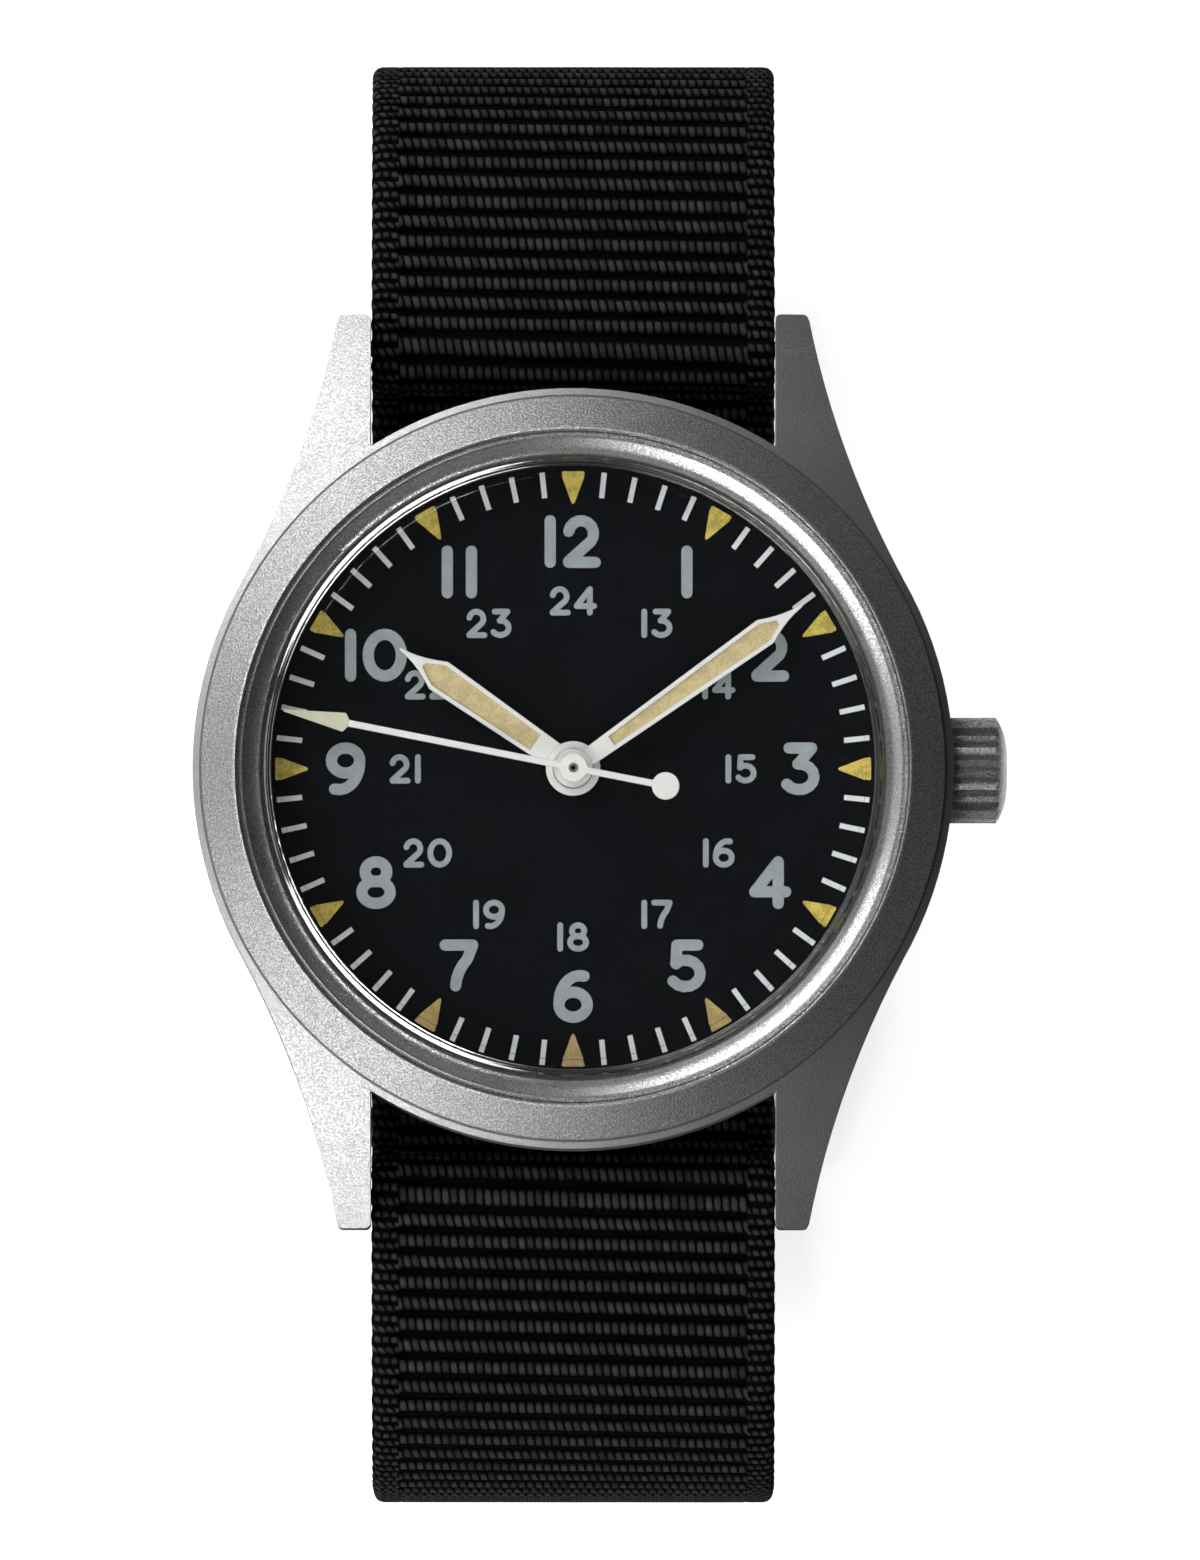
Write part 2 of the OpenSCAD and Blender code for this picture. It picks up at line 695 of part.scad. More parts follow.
module third_wheel() {
    color([0.82, 0.7, 0.38]) head() at(third_at, 0) difference() {
        union() {
            translate([0, 0, third_wheel_z]) gear(third_teeth, m_third, wheel_t);
            rotate(third_leaf_turn) translate([0, 0, center_wheel_z - 0.02])
                gear(third_leaves, m_center, wheel_t + 0.1);
            translate([0, 0, bridge_top + 0.05]) cylinder(r = 0.2, h = plate_z - bridge_top - 0.1);
            translate([0, 0, bridge_z + 0.3]) cylinder(r = pivot_r, h = plate_z + 0.4 - bridge_z - 0.3);
        }
        for (i = [0 : 3]) rotate(i * 90 + 45) translate([2.6, 0, third_wheel_z - 1])
            cylinder(r = 1.2, h = 1 + wheel_t + 0.05);
    }
}

// Seconds arbor at the centre, with the wheel that drives the escape pinion
module seconds_wheel() {
    color([0.82, 0.7, 0.38]) head() difference() {
        union() {
            translate([0, 0, second_wheel_z]) gear(second_teeth, m_escape, wheel_t);
            translate([0, 0, second_wheel_z + wheel_t]) rotate(second_leaf_turn)
                gear(second_leaves, m_third, third_wheel_z + wheel_t + 0.03 - second_wheel_z - wheel_t);
            translate([0, 0, bridge_top + 0.05]) cylinder(r = seconds_r, h = second_z + hand_t - bridge_top);
            translate([0, 0, bridge_z + 0.3]) cylinder(r = pivot_r, h = 1);
        }
        for (i = [0 : 4]) rotate(i * 72 + 10) translate([2.75, 0, second_wheel_z - 1])
            cylinder(r = 1.2, h = 1 + wheel_t);
    }
}

module escape_wheel() {
    r = 2;
    color([0.8, 0.8, 0.82]) head() at(escape_at, 0) {
        difference() {
            translate([0, 0, third_wheel_z]) linear_extrude(wheel_t)
                polygon([
                    for (i = [0 : escape_teeth - 1])
                        for (k = [[r - 0.42, -7], [r, -1], [r, 1], [r - 0.42, 2]])
                            polar(k[0], i * 360 / escape_teeth + k[1])
                ]);
            for (i = [0 : 3]) rotate(i * 90) translate([0.85, 0, third_wheel_z - 1])
                cylinder(r = 0.42, h = 3);
        }
        rotate(escape_leaf_turn) translate([0, 0, second_wheel_z - 0.02])
            gear(escape_leaves, m_escape, wheel_t + 0.1);
        translate([0, 0, bridge_top + 0.05]) cylinder(r = 0.18, h = plate_z - bridge_top - 0.1);
        translate([0, 0, bridge_z + 0.3]) cylinder(r = pivot_r, h = plate_z + 0.4 - bridge_z - 0.3);
    }
}

// Fork with two pallet stones that clear the wheel's tips, and a notch for the roller pin
module pallet_fork() {
    notch_l = norm(balance_at - fork_at) - roller_r - 0.2;
    color([0.76, 0.76, 0.78]) head() at(fork_at, 0) rotate(fork_angle) {
        translate([0, 0, third_wheel_z]) difference() {
            linear_extrude(wheel_t) union() {
                circle(r = 0.35);
                translate([0, -0.12]) square([notch_l - 0.1, 0.24]);
                translate([notch_l - 0.35, -0.3]) square([0.35, 0.6]);
                polygon([[0, -0.3], [-0.55, -1.7], [-0.3, -1.75], [0.25, -0.2]]);
                polygon([[0, 0.3], [-0.55, 1.7], [-0.3, 1.75], [0.25, 0.2]]);
            }
            translate([notch_l - 0.22, -0.12, -1]) cube([1, 0.24, 3]);
        }
        translate([0, 0, bridge_top + 0.1]) cylinder(r = 0.15, h = plate_z - bridge_top - 0.2);
        translate([0, 0, plate_z - 0.2]) cylinder(r = pivot_r, h = 0.6);
        translate([0, 0, bridge_z + 0.3]) cylinder(r = pivot_r, h = bridge_t);
    }
}

// Rim with two arms, the staff, and the roller with its impulse pin
module balance_wheel() {
    z = bridge_top + 0.1;
    t = 0.2;
    rim_out = balance_r * calibre;
    rim_in = rim_out - 0.45;
    color([0.83, 0.72, 0.45]) head() at(balance_at, 0) rotate(fork_angle + 180) {
        translate([0, 0, z]) washer(rim_out, rim_in, t);
        translate([0, 0, z]) {
            rotate(90) translate([-rim_in - 0.1, -0.25, 0]) cube([2 * rim_in + 0.2, 0.5, t]);
            cylinder(r = 0.5, h = t);
        }
        translate([0, 0, bridge_z + 0.55]) cylinder(r = 0.2, h = plate_z - bridge_z - 0.6);
        translate([0, 0, bridge_z + 0.2]) cylinder(r = pivot_r, h = plate_z - bridge_z + 0.2);
        translate([0, 0, z + t]) cylinder(r = roller_r + 0.15, h = 0.1);
        translate([roller_r, 0, z + t]) cylinder(r = 0.08, h = 0.35);
    }
}

// Flat spiral of a strip, its middle line from r0 to r1
function spiral_points(r0, r1, turns, w, steps) = let (n = turns * steps, pitch = (r1 - r0) / n)
    concat(
        [for (i = [0 : n]) polar(r0 + pitch * i + w / 2, i * 360 / steps)],
        [for (i = [n : -1 : 0]) polar(r0 + pitch * i - w / 2, i * 360 / steps)]
    );

module hairspring() {
    color([0.35, 0.4, 0.65]) head() at(balance_at, bridge_z + 0.58) linear_extrude(0.12)
        polygon(spiral_points(2 * pivot_r, balance_r / 2, 6, 0.05, 20));
}

module barrel_drum() {
    color([0.8, 0.68, 0.36]) head() at(barrel_at, barrel_gear_z) difference() {
        union() {
            rotate(barrel_turn) gear(barrel_teeth, m_barrel, 0.2);
            cylinder(r = drum_r, h = barrel_h);
        }
        translate([0, 0, 0.2]) cylinder(r = drum_r - 0.3, h = barrel_h - 0.4);
        translate([0, 0, -1]) cylinder(r = 0.6 + fit, h = 3);
    }
}

module mainspring() {
    color([0.45, 0.45, 0.5]) head() at(barrel_at, barrel_gear_z + 0.25)
        linear_extrude(barrel_h - 0.5)
            polygon(spiral_points(barrel_core_r + gap, barrel_teeth * m_barrel / 2 - 0.72, 9, 0.1, 24));
}

module barrel_arbor() {
    color([0.68, 0.68, 0.7]) head() at(barrel_at, 0) {
        translate([0, 0, ratchet_z]) cylinder(r = 0.5, h = barrel_gear_z + barrel_h + 0.3 - ratchet_z);
        translate([0, 0, barrel_gear_z + 0.25]) cylinder(r = barrel_core_r, h = barrel_h - 0.5);
        translate([0, 0, bridge_top + 0.05]) cylinder(r = 0.6, h = barrel_gear_z + barrel_h - bridge_top - 0.02);
    }
}

module ratchet_wheel() {
    color([0.78, 0.78, 0.8]) head() at(barrel_at, ratchet_z) difference() {
        rotate(ratchet_turn) gear(ratchet_teeth, m_ratchet, ratchet_t);
        translate([0, 0, -1]) cylinder(r = 0.5, h = 3);
    }
}

// Crown wheel with upright teeth that face the winding pinion
module crown_wheel() {
    rise = stem_z - pinion_r - 0.1 - ratchet_z;
    color([0.78, 0.78, 0.8]) head() at(crown_wheel_at, ratchet_z) difference() {
        union() {
            gear(crown_teeth, m_ratchet, ratchet_t);
            cylinder(r = hub_r, h = rise - 0.15);
            for (i = [0 : 15]) rotate(i * 22.5) translate([hub_r - 0.4, -0.14, 0])
                cube([0.38, 0.28, rise]);
        }
        translate([0, 0, -1]) cylinder(r = 0.5, h = 5);
    }
}

// Pawl that holds the ratchet wheel, with its screw hole
module click() {
    way = barrel_at - click_at;
    reach = norm(way) - ratchet_r - m_ratchet - 0.02;
    color([0.76, 0.77, 0.8]) head() at(click_at, ratchet_z) rotate(atan2(way[1], way[0])) difference() {
        linear_extrude(ratchet_t - 0.05) union() {
            circle(r = 0.65);
            polygon([[0, -0.5], [reach, -0.15], [reach, 0.15], [0, 0.5]]);
        }
        translate([0, 0, -1]) cylinder(r = 0.35 + fit, h = 3);
    }
}

// Plates and bridges

module in_disc(r) {
    intersection() {
        circle(r = r);
        children();
    }
}

// Everything on one side of a line square to the barrel's direction
module beyond(d, side) {
    rotate(barrel_angle) translate([side > 0 ? d : d - 3 * move_r, -2 * move_r])
        square([3 * move_r, 4 * move_r]);
}

// Arm of the balance cock from its foot to the balance
module cock_outline(margin) {
    way = foot_at - balance_at;
    translate(balance_at) {
        circle(r = 1.5 + margin);
        rotate(atan2(way[1], way[0])) translate([0, -1.3 - margin]) square([norm(way), 2.6 + 2 * margin]);
    }
    translate(foot_at) circle(r = 1.3 + margin);
}

module bridge_holes(places, r) {
    for (p = places) at(p, bridge_z - 1) cylinder(r = r, h = bridge_t + 2);
}

module foot_arc(ends) {
    translate([0, 0, bridge_z + bridge_t / 2]) rotate(ends[0]) rotate_extrude(angle = ends[1] - ends[0])
        translate([foot_in, 0]) square([foot_out - foot_in, plate_z - bridge_z - bridge_t / 2]);
}

module screw_holes() {
    for (p = screw_places) at(p, bridge_z - 1) cylinder(r = screw_r + fit, h = plate_z + screw_depth - bridge_z + 1);
}

module barrel_bridge() {
    color([0.74, 0.75, 0.76]) head() difference() {
        union() {
            translate([0, 0, bridge_z]) linear_extrude(bridge_t) in_disc(bridge_r) beyond(1.6, 1);
            foot_arc(barrel_foot);
            at(click_at, ratchet_z - 0.05) cylinder(r = 0.35, h = bridge_z - ratchet_z + 0.1);
        }
        bridge_holes([barrel_at], 0.5 + fit);
        bridge_holes([crown_wheel_at], hub_r + fit);
        screw_holes();
    }
}

module train_bridge() {
    color([0.74, 0.75, 0.76]) head() difference() {
        union() {
            translate([0, 0, bridge_z]) linear_extrude(bridge_t) difference() {
                in_disc(bridge_r) beyond(1.4, -1);
                translate(balance_at) circle(r = balance_well_r);
                cock_outline(0.25);
            }
            foot_arc(train_foot);
        }
        bridge_holes([[0, 0], third_at, escape_at, fork_at], jewel_r);
        screw_holes();
    }
}

module balance_cock() {
    color([0.74, 0.75, 0.76]) head() difference() {
        union() {
            translate([0, 0, bridge_z]) linear_extrude(0.5) in_disc(bridge_r) cock_outline(0);
            translate([0, 0, bridge_z]) linear_extrude(plate_z - bridge_z) in_disc(bridge_r)
                translate(foot_at) circle(r = 1.3);
        }
        bridge_holes([balance_at], jewel_r);
        screw_holes();
    }
}

module bridge_screws() {
    color([0.35, 0.42, 0.62]) head() for (p = screw_places) at(p, 0) difference() {
        union() {
            translate([0, 0, bridge_z - 0.3]) cylinder(r = screw_r * 1.8, h = 0.3);
            translate([0, 0, bridge_z - 0.3]) cylinder(r = screw_r, h = plate_z + screw_depth - bridge_z + 0.2);
        }
        translate([-screw_r * 2, -0.08, bridge_z - 0.4]) cube([screw_r * 4, 0.16, 0.25]);
    }
}

// Ruby bearings, pressed in the bridges and the main plate
module jewels() {
    t = 0.35;
    color([0.75, 0.08, 0.2]) head() {
        for (p = [[0, 0], third_at, escape_at, fork_at])
            at(p, bridge_z + 0.35) washer(jewel_r, pivot_r + fit, t);
        at(balance_at, bridge_z + 0.1) washer(jewel_r, pivot_r + fit, t);
        for (p = [third_at, escape_at, fork_at, balance_at])
            at(p, plate_z + 0.05) washer(jewel_r, pivot_r + fit, t);
    }
}

module main_plate() {
    recess = plate_top - 0.35;
    high = plate_top + 1;
    color([0.78, 0.74, 0.6]) head() {
        difference() {
            translate([0, 0, plate_z]) cylinder(r = move_r, h = plate_t);
            at(barrel_at, plate_z - 1) cylinder(r = drum_r + 0.15, h = barrel_gear_z + barrel_h + 1.08 - plate_z);
            at(barrel_at, plate_z) cylinder(r = 0.5 + fit, h = barrel_gear_z + barrel_h + 0.35 - plate_z);
            translate([0, 0, plate_z - 1]) cylinder(r = center_r + 0.05, h = plate_t + 2);
            translate([0, 0, motion_z]) cylinder(r = m_hour * hour_teeth / 2 + 0.3, h = 2);
            at(minute_at, motion_z) cylinder(r = m_motion * minute_teeth / 2 + 0.25, h = 2);
            at(setting_at, motion_z) cylinder(r = m_motion * setting_teeth / 2 + 0.25, h = 2);
            translate([clutch_x - 1.6, -1.35, plate_z - 1])
                cube([pinion_x + pinion_l + 1.7 - clutch_x, 2.7, plate_t + 2]);
            translate([clutch_x - 3, 0, stem_z]) rotate([0, 90, 0]) cylinder(r = stem_d / 2 + 0.05, h = move_r);
            translate([groove_x - 0.4, -0.4, stem_z]) cube([2, 1.1, 2]);
            translate([yoke_x - 1, yoke_y - 0.8, recess]) cube([1.9, -yoke_y + 1.4, 1]);
            translate([lever_x - 0.7, -0.5, recess]) cube([2, lever_y + 1.3, 1]);
            for (p = [third_at, escape_at, fork_at, balance_at])
                at(p, plate_z - 1) cylinder(r = jewel_r, h = 1.45);
            screw_holes();
        }
        at(minute_at, motion_z - 0.05) cylinder(r = 0.25, h = 0.75);
        at(setting_at, motion_z - 0.05) cylinder(r = 0.3, h = 0.75);
        at([yoke_x, yoke_y], recess - 0.05) cylinder(r = 0.3, h = 0.35);
        at([lever_x, lever_y], recess - 0.05) cylinder(r = 0.3, h = 0.35);
    }
}

module movement_ring() {
    color([0.3, 0.3, 0.32]) head() difference() {
        translate([0, 0, bridge_top]) washer(bore_r - 0.05, move_r + 0.03, plate_top - bridge_top);
        translate([0, 0, stem_z]) rotate([0, 90, 0]) cylinder(r = tube_r, h = case_r);
    }
}

// Dial

module dial() {
    color([0.05, 0.05, 0.06]) head() translate([0, 0, plate_top])
        washer(dial_r, hour_r + 0.15, dial_t);
}

// Turns what points toward 12 o'clock to a number of degrees after 12
module clock(a) {
    rotate(-a) children();
}

module minute_track() {
    color([0.72, 0.73, 0.75]) head() translate([0, 0, dial_top])
        for (i = [0 : 59]) if (i % 5 != 0) clock(i * 6)
            translate([-tick_w / 2, track_r - tick_l, 0]) cube([tick_w, tick_l, paint_t]);
}

// Triangle with its base outward and rounded corners
module hour_markers() {
    r = 0.07;
    half = marker_w / 2;
    color([0.79, 0.69, 0.32]) head() translate([0, 0, dial_top])
        for (i = [0 : 11]) clock(i * 30) translate([0, track_r, 0]) linear_extrude(paint_t)
            polygon([
                [-half + r, 0], [-half, -r], [-r, r - marker_h], [0, -marker_h], [r, r - marker_h],
                [half, -r], [half - r, 0]
            ]);
}

// Numerals drawn as strokes with round ends, in a box 1 high
function arc(cx, cy, rx, ry, a0, a1, n) =
    [for (i = [0 : n]) let (a = a0 + (a1 - a0) * i / n) [cx + rx * cos(a), cy + ry * sin(a)]];

// Strokes of each digit. A stroke that starts with "ring" is a closed oval.
function digit_strokes(d) =
    d == 0 ? [["ring", 0.4, 0.5, 0.4, 0.5]] :
    d == 1 ? [[[0, 0], [0, 1]]] :
    d == 2 ? [concat(arc(0.32, 0.69, 0.3, 0.31, 170, -35, 9), [[0.02, 0.02]]), [[0.02, 0], [0.66, 0]]] :
    d == 3 ? [[[0.06, 1], [0.6, 1]], [[0.6, 1], [0.29, 0.62]], arc(0.3, 0.31, 0.36, 0.31, 95, -145, 10)] :
    d == 4 ? [[[0.56, 1], [0, 0.28]], [[0, 0.28], [0.74, 0.28]], [[0.56, 1], [0.56, 0]]] :
    d == 5 ? [[[0.6, 1], [0.1, 1]], [[0.1, 1], [0.08, 0.55]], arc(0.3, 0.32, 0.36, 0.32, 130, -145, 11)] :
    d == 6 ? [["ring", 0.34, 0.3, 0.34, 0.3], arc(0.5, 0.34, 0.5, 0.66, 180, 78, 7)] :
    d == 7 ? [[[0, 1], [0.66, 1]], concat([[0.66, 1]], arc(1.25, -0.05, 1, 1.02, 136, 176, 4))] :
    d == 8 ? [["ring", 0.34, 0.76, 0.26, 0.24], ["ring", 0.34, 0.27, 0.34, 0.27]] :
    [["ring", 0.34, 0.7, 0.34, 0.3], arc(0.18, 0.66, 0.5, 0.66, 0, -102, 7)];

function digit_width(d) = d == 0 ? 0.8 : d == 1 ? 0 : d == 4 ? 0.74 : 0.68;

// Space between the middle lines of two digits
function digit_space(a, b) = a == 1 && b == 1 ? 0.58 : a == 1 || b == 1 ? 0.42 : 0.36;

function unit(v) = v / norm(v);
function heading(path, i) = unit(path[min(i + 1, len(path) - 1)] - path[max(i - 1, 0)]);
function beside(path, i, w) = let (h = heading(path, i)) path[i] + w * [-h[1], h[0]];
function cap(p, h, w) = let (a = atan2(h[1], h[0]))
    [for (k = [60 : -30 : -60]) p + w * [cos(a + k), sin(a + k)]];
function stroke_outline(path, w) = let (n = len(path) - 1) concat(
    [for (i = [0 : n]) beside(path, i, w)],
    cap(path[n], heading(path, n), w),
    [for (i = [n : -1 : 0]) beside(path, i, -w)],
    cap(path[0], -heading(path, 0), w)
);

// One digit, as high as h over all, with strokes w wide
module digit(d, h, w) {
    s = h - w;
    for (k = digit_strokes(d)) {
        if (k[0] == "ring") difference() {
            translate([k[1], k[2]] * s) polygon(arc(0, 0, k[3] * s + w / 2, k[4] * s + w / 2, 0, 345, 23));
            translate([k[1], k[2]] * s) polygon(arc(0, 0, k[3] * s - w / 2, k[4] * s - w / 2, 0, 345, 23));
        }
        else polygon(stroke_outline(k * s, w / 2));
    }
}

// A number of one or two digits, centred on the origin
module numeral(n, h, w) {
    s = h - w;
    tens = floor(n / 10);
    ones = n % 10;
    width = tens == 0 ? digit_width(ones)
        : digit_width(tens) + digit_space(tens, ones) + digit_width(ones);
    translate([-width * s / 2, -s / 2]) {
        if (tens > 0) linear_extrude(paint_t) digit(tens, h, w);
        translate([(width - digit_width(ones)) * s, 0, 0]) linear_extrude(paint_t) digit(ones, h, w);
    }
}

module dial_numerals() {
    color([0.6, 0.64, 0.66]) head() translate([0, 0, dial_top]) {
        for (i = [1 : 12]) translate(polar(numeral_r, 90 - 30 * i)) numeral(i, numeral_h, numeral_w);
        for (i = [1 : 12]) translate(polar(small_r, 90 - 30 * i)) numeral(i + 12, small_h, small_w);
    }
}

// Hands

// Outline of a hand with a waist at the hub, shoulders and a hollow taper to a needle tip
module hand_outline(l, shoulder, shoulder_w, root_w, hub) {
    tip_w = 0.06;
    circle(r = hub);
    polygon(concat(
        [[-root_w / 2, 0], [-shoulder_w / 2, shoulder]],
        [for (i = [1 : 5]) [-tip_w - (shoulder_w / 2 - tip_w) * pow(1 - i / 5, 1.7), shoulder + (l - shoulder) * i / 5]],
        [for (i = [5 : -1 : 1]) [tip_w + (shoulder_w / 2 - tip_w) * pow(1 - i / 5, 1.7), shoulder + (l - shoulder) * i / 5]],
        [[shoulder_w / 2, shoulder], [root_w / 2, 0]]
    ));
}

// Window in a hand that holds the luminous filling, smaller than it by a margin
module hand_window(from, to, shoulder, shoulder_w, root_w, margin) {
    b = hand_border + margin;
    w0 = root_w / 2 + (shoulder_w - root_w) / 2 * from / shoulder - b;
    w1 = shoulder_w / 2 - b;
    polygon([
        [-w0, from + margin], [-w1, shoulder], [-0.1, to - margin], [0.1, to - margin], [w1, shoulder],
        [w0, from + margin]
    ]);
}

hour_shape = [hour_l - 2.1, 1.47, 1.1];
minute_shape = [minute_l - 2, 1.26, 0.78];
hour_window = [2.05, hour_l - 1.3];
minute_window = [2.1, minute_l - 1.3];
lume_t = hand_t - 0.06;
hour_hub = 1.22;
minute_hub = 0.87;
second_hub = 0.64;

module hour_hand() {
    color([0.93, 0.93, 0.91]) head() translate([0, 0, hour_z]) clock(hour_angle) linear_extrude(hand_t)
        difference() {
            hand_outline(hour_l, hour_shape[0], hour_shape[1], hour_shape[2], hour_hub);
            hand_window(hour_window[0], hour_window[1], hour_shape[0], hour_shape[1], hour_shape[2], 0);
            circle(r = hour_r);
        }
}

module hour_hand_lume() {
    color([0.83, 0.78, 0.56]) head() translate([0, 0, hour_z]) clock(hour_angle)
        linear_extrude(lume_t)
            hand_window(hour_window[0], hour_window[1], hour_shape[0], hour_shape[1], hour_shape[2], 0);
}

module minute_hand() {
    color([0.93, 0.93, 0.91]) head() translate([0, 0, minute_z]) clock(minute_angle) linear_extrude(hand_t)
        difference() {
            hand_outline(minute_l, minute_shape[0], minute_shape[1], minute_shape[2], minute_hub);
            hand_window(minute_window[0], minute_window[1], minute_shape[0], minute_shape[1], minute_shape[2], 0);
            circle(r = cannon_r);
        }
}

module minute_hand_lume() {
    color([0.83, 0.78, 0.56]) head() translate([0, 0, minute_z]) clock(minute_angle)
        linear_extrude(lume_t)
            hand_window(minute_window[0], minute_window[1], minute_shape[0], minute_shape[1], minute_shape[2], 0);
}

arrow_from = second_l - 2.9;
arrow_w = 0.85;
weight_r = 0.615;
weight_y = -4.2;

module second_hand() {
    shaft = 0.3;
    color([0.93, 0.93, 0.91]) head() translate([0, 0, second_z]) clock(second_angle) linear_extrude(hand_t)
        difference() {
            union() {
                circle(r = second_hub);
                translate([0, weight_y]) circle(r = weight_r);
                translate([-shaft / 2, weight_y]) square([shaft, arrow_from - weight_y]);
            }
            circle(r = seconds_r);
        }
}

// Painted arrow head of the second hand
module second_hand_lume() {
    color([0.88, 0.86, 0.72]) head() translate([0, 0, second_z]) clock(second_angle) linear_extrude(hand_t)
        polygon([
            [-0.15, arrow_from], [-arrow_w / 2, arrow_from + 0.2], [-0.05, second_l], [0.05, second_l],
            [arrow_w / 2, arrow_from + 0.2], [0.15, arrow_from]
        ]);
}

// Strap

// A path is a list of [length] straights and [radius, turn] bends, left turns positive.
// Each leg gives its further points with their headings.
function bend(p, a, r, turn) = let (n = max(2, ceil(abs(turn) / 7.5)), s = sign(turn))
    [for (k = [1 : n]) let (b = a + turn * k / n) [p + s * r * [sin(b) - sin(a), cos(a) - cos(b)], b]];
function leg(p, a, part) = len(part) == 1 ? [[p + part[0] * [cos(a), sin(a)], a]]
    : bend(p, a, part[0], part[1]);
function walk(path, p = [0, 0], a = 0, i = 0) = i == len(path) ? []
    : let (l = leg(p, a, path[i]), e = l[len(l) - 1]) concat(l, walk(path, e[0], e[1], i + 1));

// Turns a plane drawing upright, its X along the strap and its Y upward
module upright() {
    rotate([90, 0, 90]) children();
}

over_bar = [
    [dip_y], [dip_r, 90], [lift], [bar_fold_r, -90 - leave_angle], [leave_l],
    [shoulder_r, leave_angle - 90]
];
return_bend = 35;
return_r = (2 * fold_r - web_t - 0.05) / (2 * (1 - cos(return_bend)));
return_l = 5.2;
front_y = pin_y - frame_l;
front_w = 1.8;
entry_bend = 20;
entry_r = (entry_z - tail_z) / (2 * (1 - cos(entry_bend)));
entry_l = flat_y + front_y + front_w + 1;
tail_end = 15;
tail_l = flat_y - entry_l - 2 * entry_r * sin(entry_bend) + tail_end;
hole_y = pin_y - 3.8;
slot_half = 2.3;
slot_w = 0.8;
hole_r = 0.9;
corner = 2.2;
keeper_space = 7.2;

path_12 = concat(over_bar, [
    [side_l], [under_r, -90], [flat_y - pin_y], [fold_r, -180], [return_r, -return_bend],
    [return_r, return_bend], [return_l]
]);
path_6 = concat(over_bar, [
    [side_l + strand_z - entry_z], [under_r, -90], [entry_l], [entry_r, entry_bend],
    [entry_r, -entry_bend], [tail_l]
]);

// Middle line of the whole band, from the tail to the fold at the buckle, with its headings
walk_12 = walk(path_12);
walk_6 = walk(path_6);
band_line = concat(
    [for (i = [len(walk_6) - 1 : -1 : 0]) [[-walk_6[i][0][0], walk_6[i][0][1]], -walk_6[i][1]]],
    [[[0, 0], 0]],
    walk_12
);
function off_line(q, d) = q[0] + d * [-sin(q[1]), cos(q[1])];

module band_outline() {
    polygon(concat(
        [for (q = band_line) off_line(q, web_t / 2)],
        [for (i = [len(band_line) - 1 : -1 : 0]) off_line(band_line[i], -web_t / 2)]
    ));
}

module strap_band() {
    start_z = case_z - under_gap - web_t / 2;
    color([0.07, 0.07, 0.08]) difference() {
        translate([-web_w / 2, 0, start_z]) upright() linear_extrude(web_w) band_outline();
        translate([-slot_w, hole_y - slot_half + slot_w, eps])
            cube([2 * slot_w, 2 * (slot_half - slot_w), strand_z]);
        for (s = [-1, 1]) translate([0, hole_y + s * (slot_half - slot_w), eps])
            cylinder(r = slot_w, h = strand_z);
        for (i = [1 : 3]) translate([0, hole_y + i * hole_pitch, eps])
            cylinder(r = hole_r, h = tail_z + web_t / 2 + gap / 2 - eps);
        for (i = [1 : 3]) translate([0, -flat_y, entry_z + under_r])
            rotate([-((i * hole_pitch - hole_y - flat_y) / under_r) * 180 / PI, 0, 0])
                translate([0, 0, -under_r - web_t]) cylinder(r = hole_r, h = 2 * web_t);
        translate([-1, pin_y - fold_r - web_t, tail_z + web_t / 2 + gap / 2])
            cube([2, fold_r + web_t + 1.1, 2 * fold_r + web_t + gap]);
        for (s = [-1, 1]) translate([s * web_w / 2, tail_end, 0]) rotate(45)
            translate([-corner, -corner, eps]) cube([2 * corner, 2 * corner, tail_z + web_t / 2 + gap / 2 - eps]);
    }
}

// Flat loop round the strap
module keeper(y, high) {
    in_w = web_w + 2 * gap;
    translate([0, y + keeper_w / 2, 0]) rotate([90, 0, 0]) linear_extrude(keeper_w) difference() {
        translate([-in_w / 2 - keeper_t, 0]) square([in_w + 2 * keeper_t, high + 2 * keeper_t]);
        translate([-in_w / 2, keeper_t]) square([in_w, high]);
    }
}

fixed_y = 0;
sliding_y = fixed_y + keeper_space;

module fixed_keeper() {
    color([0.08, 0.08, 0.09]) keeper(fixed_y, 3 * web_t + 3 * gap + 0.05);
}

module sliding_keeper() {
    color([0.08, 0.08, 0.09]) keeper(sliding_y, 2 * web_t + 3 * gap);
}

// Buckle

module buckle_frame() {
    in_w = web_w / 2 + 0.3;
    color([0.62, 0.63, 0.64]) difference() {
        union() {
            both_x() translate([in_w, 0, 0]) upright() linear_extrude(arm_w) difference() {
                polygon([
                    [front_y + 0.4, 0], [front_y + front_w + 1, 0], [pin_y + 0.3, pin_z - 1],
                    [pin_y + 1, pin_z - 0.4], [pin_y + 1, pin_z + 0.4], [pin_y + 0.4, pin_z + 1],
                    [pin_y - 0.6, pin_z + 1], [front_y + 0.5, frame_t], [front_y, frame_t - 0.5],
                    [front_y, 0.4]
                ]);
                translate([pin_y, pin_z]) circle(r = pin_d / 2);
            }
            translate([-in_w, 0, 0]) upright() linear_extrude(2 * in_w) polygon([
                [front_y + 0.4, 0], [front_y + front_w - 0.3, 0], [front_y + front_w, 0.3],
                [front_y + front_w, frame_t - 0.3], [front_y + front_w - 0.3, frame_t],
                [front_y + 0.5, frame_t], [front_y, frame_t - 0.5], [front_y, 0.4]
            ]);
        }
        translate([-0.75, front_y - 1, -1]) cube([1.5, front_w + 2, 1.95]);
    }
}

